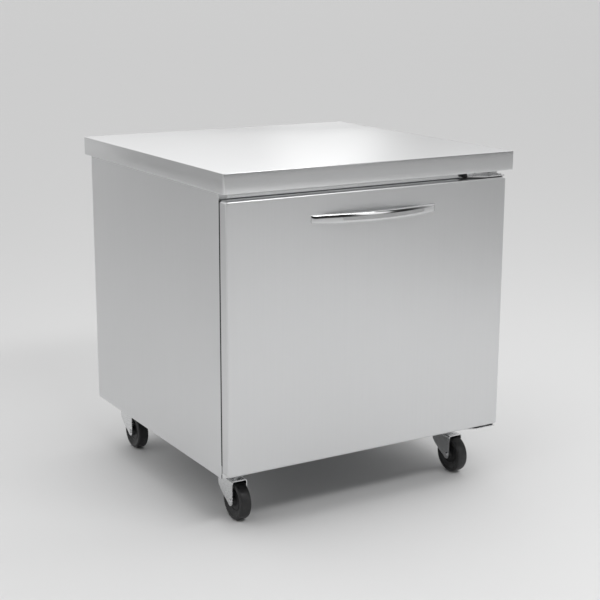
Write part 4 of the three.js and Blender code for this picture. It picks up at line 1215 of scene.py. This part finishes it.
def make_evaporator():
    low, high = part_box("evaporator_cover")
    refined("evaporator_cover", "aluminium", "cabinet", 0.0004, 30.0)
    refined("evaporator_coil", "aluminium", "cabinet", 0.0002)
    refined("evaporator_fan_motor", "black_paint", "cabinet", 0.0004)
    make_fan("evaporator_fan_blade", "evaporator_fan", "grey_plastic", 0.066)
    make_guard(axis_at("evaporator_fan", low.y), 0.078)
    bm = bmesh.new()
    for x in (low.x + 0.012, high.x - 0.012):
        for z in (low.z + 0.012, high.z - 0.012):
            add_screw(bm, (x, low.y, z), (0, -1, 0), 0.0038, 0.0022)
    add_piece("evaporator_cover_screws", bm, "zinc", "cabinet", smooth=30.0)
    make_thermostat(low.y)


def make_guard(centre, radius):
    """A wire fan guard: rings on four arms that are fixed to the cover."""
    bm = bmesh.new()
    wire = 0.0009
    for share in (0.25, 0.42, 0.59, 0.76, 0.93):
        ring = []
        for i in range(48):
            angle = 2 * math.pi * i / 48
            out = radius * share
            ring.append(centre + Vector((out * math.cos(angle), -0.0042, out * math.sin(angle))))
        tube(bm, ring, wire, 6, closed=True)
    for i in range(4):
        angle = math.pi / 4 + math.pi / 2 * i
        out = Vector((math.cos(angle), 0.0, math.sin(angle)))
        arm = [(0.017, 0.0026), (radius * 0.96, 0.0026), (radius + 0.002, 0.0010), (radius + 0.008, 0.0010)]
        tube(bm, [centre + out * reach - Vector((0, proud, 0)) for reach, proud in arm], wire, 6)
    add_piece("evaporator_fan_guard", bm, "chrome", "cabinet", smooth=60.0)


def make_thermostat(plane):
    """A fluted knob with a grip bar and a pointer, inside a ring of marks on the cover."""
    low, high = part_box("thermostat_knob")
    centre = axis_at("thermostat", plane)
    radius = (high.x - low.x) / 2
    bm = bmesh.new()
    rings = []
    count = 96
    skirt, top = -0.0003, -0.0143
    section = [
        (0.004, skirt, 0), (radius, skirt, 0.3), (radius * 0.99, -0.0045, 1.0),
        (radius * 0.94, -0.0125, 1.0), (radius * 0.88, top, 0.4), (0.010, top, 0), (0.001, top, 0),
    ]
    for out, up, flute in section:
        ring = []
        for i in range(count):
            angle = 2 * math.pi * i / count
            wave = 1 - 0.02 * flute * (1 + math.cos(24 * angle))
            ring.append(centre + Vector((out * wave * math.cos(angle), up, out * wave * math.sin(angle))))
        rings.append(ring)
    loft(bm, rings)
    grip = [centre + Vector(place) for place in ((-0.0024, -0.0183, -0.0140), (0.0024, -0.0138, 0.0140))]
    add_box(bm, *grip, 0.0008)
    turn(bm, [(0.0035, -0.001), (0.0035, 0.0132)], centre, (0, 1, 0), 24)
    add_piece("thermostat_dial", bm, "black_plastic", "thermostat", ["thermostat_knob"], 40.0)
    bm = bmesh.new()
    pointer = [centre + Vector(place) for place in ((-0.0006, -0.01845, 0.004), (0.0006, -0.0182, 0.0136))]
    add_box(bm, *pointer)
    add_piece("thermostat_pointer", bm, "white_plastic", "thermostat")
    bm = bmesh.new()
    for i in range(11):
        angle = math.radians(225 - 27 * i)
        out = Vector((math.cos(angle), 0.0, math.sin(angle)))
        sunk = centre + Vector((0, 0.0002, 0))
        start, length = radius + 0.003, 0.006 if i % 5 == 0 else 0.004
        tube(bm, [sunk + out * start, sunk + out * (start + length)], 0.0005, 6)
    add_piece("thermostat_marks", bm, "black_plastic", "cabinet")


# ---- Machine room --------------------------------------------------------------------------


def make_condensing_unit():
    """A finned coil between end plates, with its tubes, shroud, motor and fan."""
    low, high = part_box("condenser_coil")
    bottom = low.z + 0.0605
    bm = bmesh.new()
    fins = 78
    for i in range(fins):
        x = low.x + 0.006 + (high.x - low.x - 0.012) * i / (fins - 1)
        add_box(bm, (x - 0.0003, low.y + 0.001, bottom + 0.002), (x + 0.0003, high.y - 0.001, high.z - 0.002))
    for x in (low.x, high.x - 0.0015):
        add_box(bm, (x, low.y, bottom), (x + 0.0015, high.y, high.z), 0.0003)
    for x in (low.x + 0.005, high.x - 0.025):
        add_box(bm, (x, low.y + 0.005, low.z), (x + 0.020, high.y - 0.005, bottom), 0.0006)
    add_piece("condenser_fins", bm, "aluminium", "cabinet", ["condenser_coil"])
    bm = bmesh.new()
    rows = 9
    for row in range(rows):
        z = bottom + 0.014 + (high.z - bottom - 0.028) * row / (rows - 1)
        for y in (low.y + 0.012, high.y - 0.012):
            tube(bm, [(low.x - 0.002, y, z), (high.x, y, z)], 0.0036, 8)
    add_piece("condenser_tubes", bm, "copper", "cabinet", smooth=50.0)
    refined("condenser_shroud", "black_paint", "cabinet", 0.0004, 30.0)
    refined("condenser_fan_motor", "black_paint", "cabinet", 0.0004)
    make_fan("condenser_fan_blade", "condenser_fan", "aluminium", 0.0854)


def make_compressor():
    """A welded can of two halves on a foot rail, with a terminal cover and two pipe stubs."""
    low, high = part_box("compressor")
    base_low, base_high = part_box("compressor_base")
    centre = Vector(((base_low.x + base_high.x) / 2, (base_low.y + base_high.y) / 2, low.z))
    radius, height, dome = 0.064, 0.176, 0.026
    profile = [(0.002, 0.003)]
    for i in range(1, 9):
        angle = math.pi / 2 * i / 8
        profile.append((radius * math.sin(angle), 0.003 + dome * (1 - math.cos(angle))))
    seam, upper = height * 0.5, radius - 0.0008
    profile += [(radius, seam - 0.004), (radius + 0.0016, seam - 0.002), (radius + 0.0022, seam),
                (radius + 0.0016, seam + 0.002), (upper, seam + 0.003)]
    for i in range(8, 0, -1):
        angle = math.pi / 2 * i / 8
        profile.append((upper * math.sin(angle), height - dome * (1 - math.cos(angle))))
    profile.append((0.002, height))
    bm = bmesh.new()
    turn(bm, profile, centre, (0, 0, 1), 64)
    foot_x, foot_y = (high.x - low.x) / 2, 0.068
    bent_sheet(bm, [(-foot_y, 0.002), (foot_y, 0.002)], 0.0036, 0.001, (centre.x - foot_x, centre.x + foot_x),
               lambda u, v, w: Vector((w, centre.y + u, low.z + v)))
    terminals = (centre.x - 0.022, centre.y + radius - 0.012, low.z + 0.060)
    add_box(bm, terminals, (centre.x + 0.022, high.y, low.z + 0.116), 0.003, 3)
    stub = [(0.009, low.z + 0.146), (0.009, high.z - 0.002), (0.0082, high.z), (0.006, high.z)]
    for side in (-1, 1):
        turn(bm, stub, (centre.x + side * 0.034, centre.y, 0.0), (0, 0, 1), 32)
    add_piece("compressor_can", bm, "black_paint", "cabinet", ["compressor"], 35.0)
    refined("compressor_base", "galvanised", "cabinet", 0.0004)
    refined("condensate_pan", "black_plastic", "cabinet", 0.0005)
    refined("control_box", "grey_plastic", "cabinet", 0.0006)


def make_lines():
    for node in ("suction_line", "liquid_line", "discharge_line"):
        refined(node, "copper", "cabinet", 0.0, 60.0, 2)
    refined("drain_tube", "white_plastic", "cabinet", 0.0, 60.0, 2)
    refined("filter_drier", "copper", "cabinet", 0.0008)


def make_floor():
    floor_mesh = bpy.data.meshes.new("floor")
    bm = bmesh.new()
    bmesh.ops.create_circle(bm, cap_ends=True, segments=96, radius=200.0)
    bm.to_mesh(floor_mesh)
    bm.free()
    floor = bpy.data.objects.new("floor", floor_mesh)
    finish = Finish("studio_floor")
    cloud = finish.noise(0.6, 2.0)
    color = finish.tint(cloud, (0.685, 0.685, 0.685), (0.69, 0.69, 0.69))
    floor_mesh.materials.append(finish.done(color, finish.spread(cloud, 0.78, 0.82)))
    scene.collection.objects.link(floor)


# ---- Scene ---------------------------------------------------------------------------------

make_camera()
make_world(0.565, 1.16, [
    Patch(24.0, 8.0, 8.0, 13.0, 3.0, 1.4),
    Patch(31.6, 8.0, 1.2, 3.6, 4.0, 1.18),
    Patch(172.0, 14.0, 44.0, 72.0, 1.0, 0.06),
    Patch(150.0, 20.0, 5.0, 15.0, 1.5, 24.0),
])
finishes = make_finishes()

make_floor()
make_flag("flag_behind_left", (-4.8, 1.6), (-2.4, 5.6), 2.6, 0.70)
make_flag("flag_front_right", (0.4, -3.6), (3.6, -1.9), 0.8, 0.50)
make_light("overhead", (-0.5, -0.6, 4.2), (-0.1, 0.0, 0.4), (3.4, 3.4), 20.0)
make_light("front_overhead", (0.5, -2.9, 3.5), (0.0, -0.6, 0.3), (3.0, 0.6), 58.0)
make_light("right_low", (1.9, 0.1, 1.5), (0.35, -0.1, 0.0), (0.8, 0.5), 1.0)

make_worktop()
make_side_panels()
make_face_frame()
make_base_and_top()
make_liner()
make_rear_cover()
make_door()
make_hinges()
for corner in CORNERS:
    make_caster(corner)
    make_pilaster(corner)
make_shelf("lower_shelf")
make_shelf("upper_shelf")
make_evaporator()
make_condensing_unit()
make_compressor()
make_lines()

bpy.context.view_layer.update()
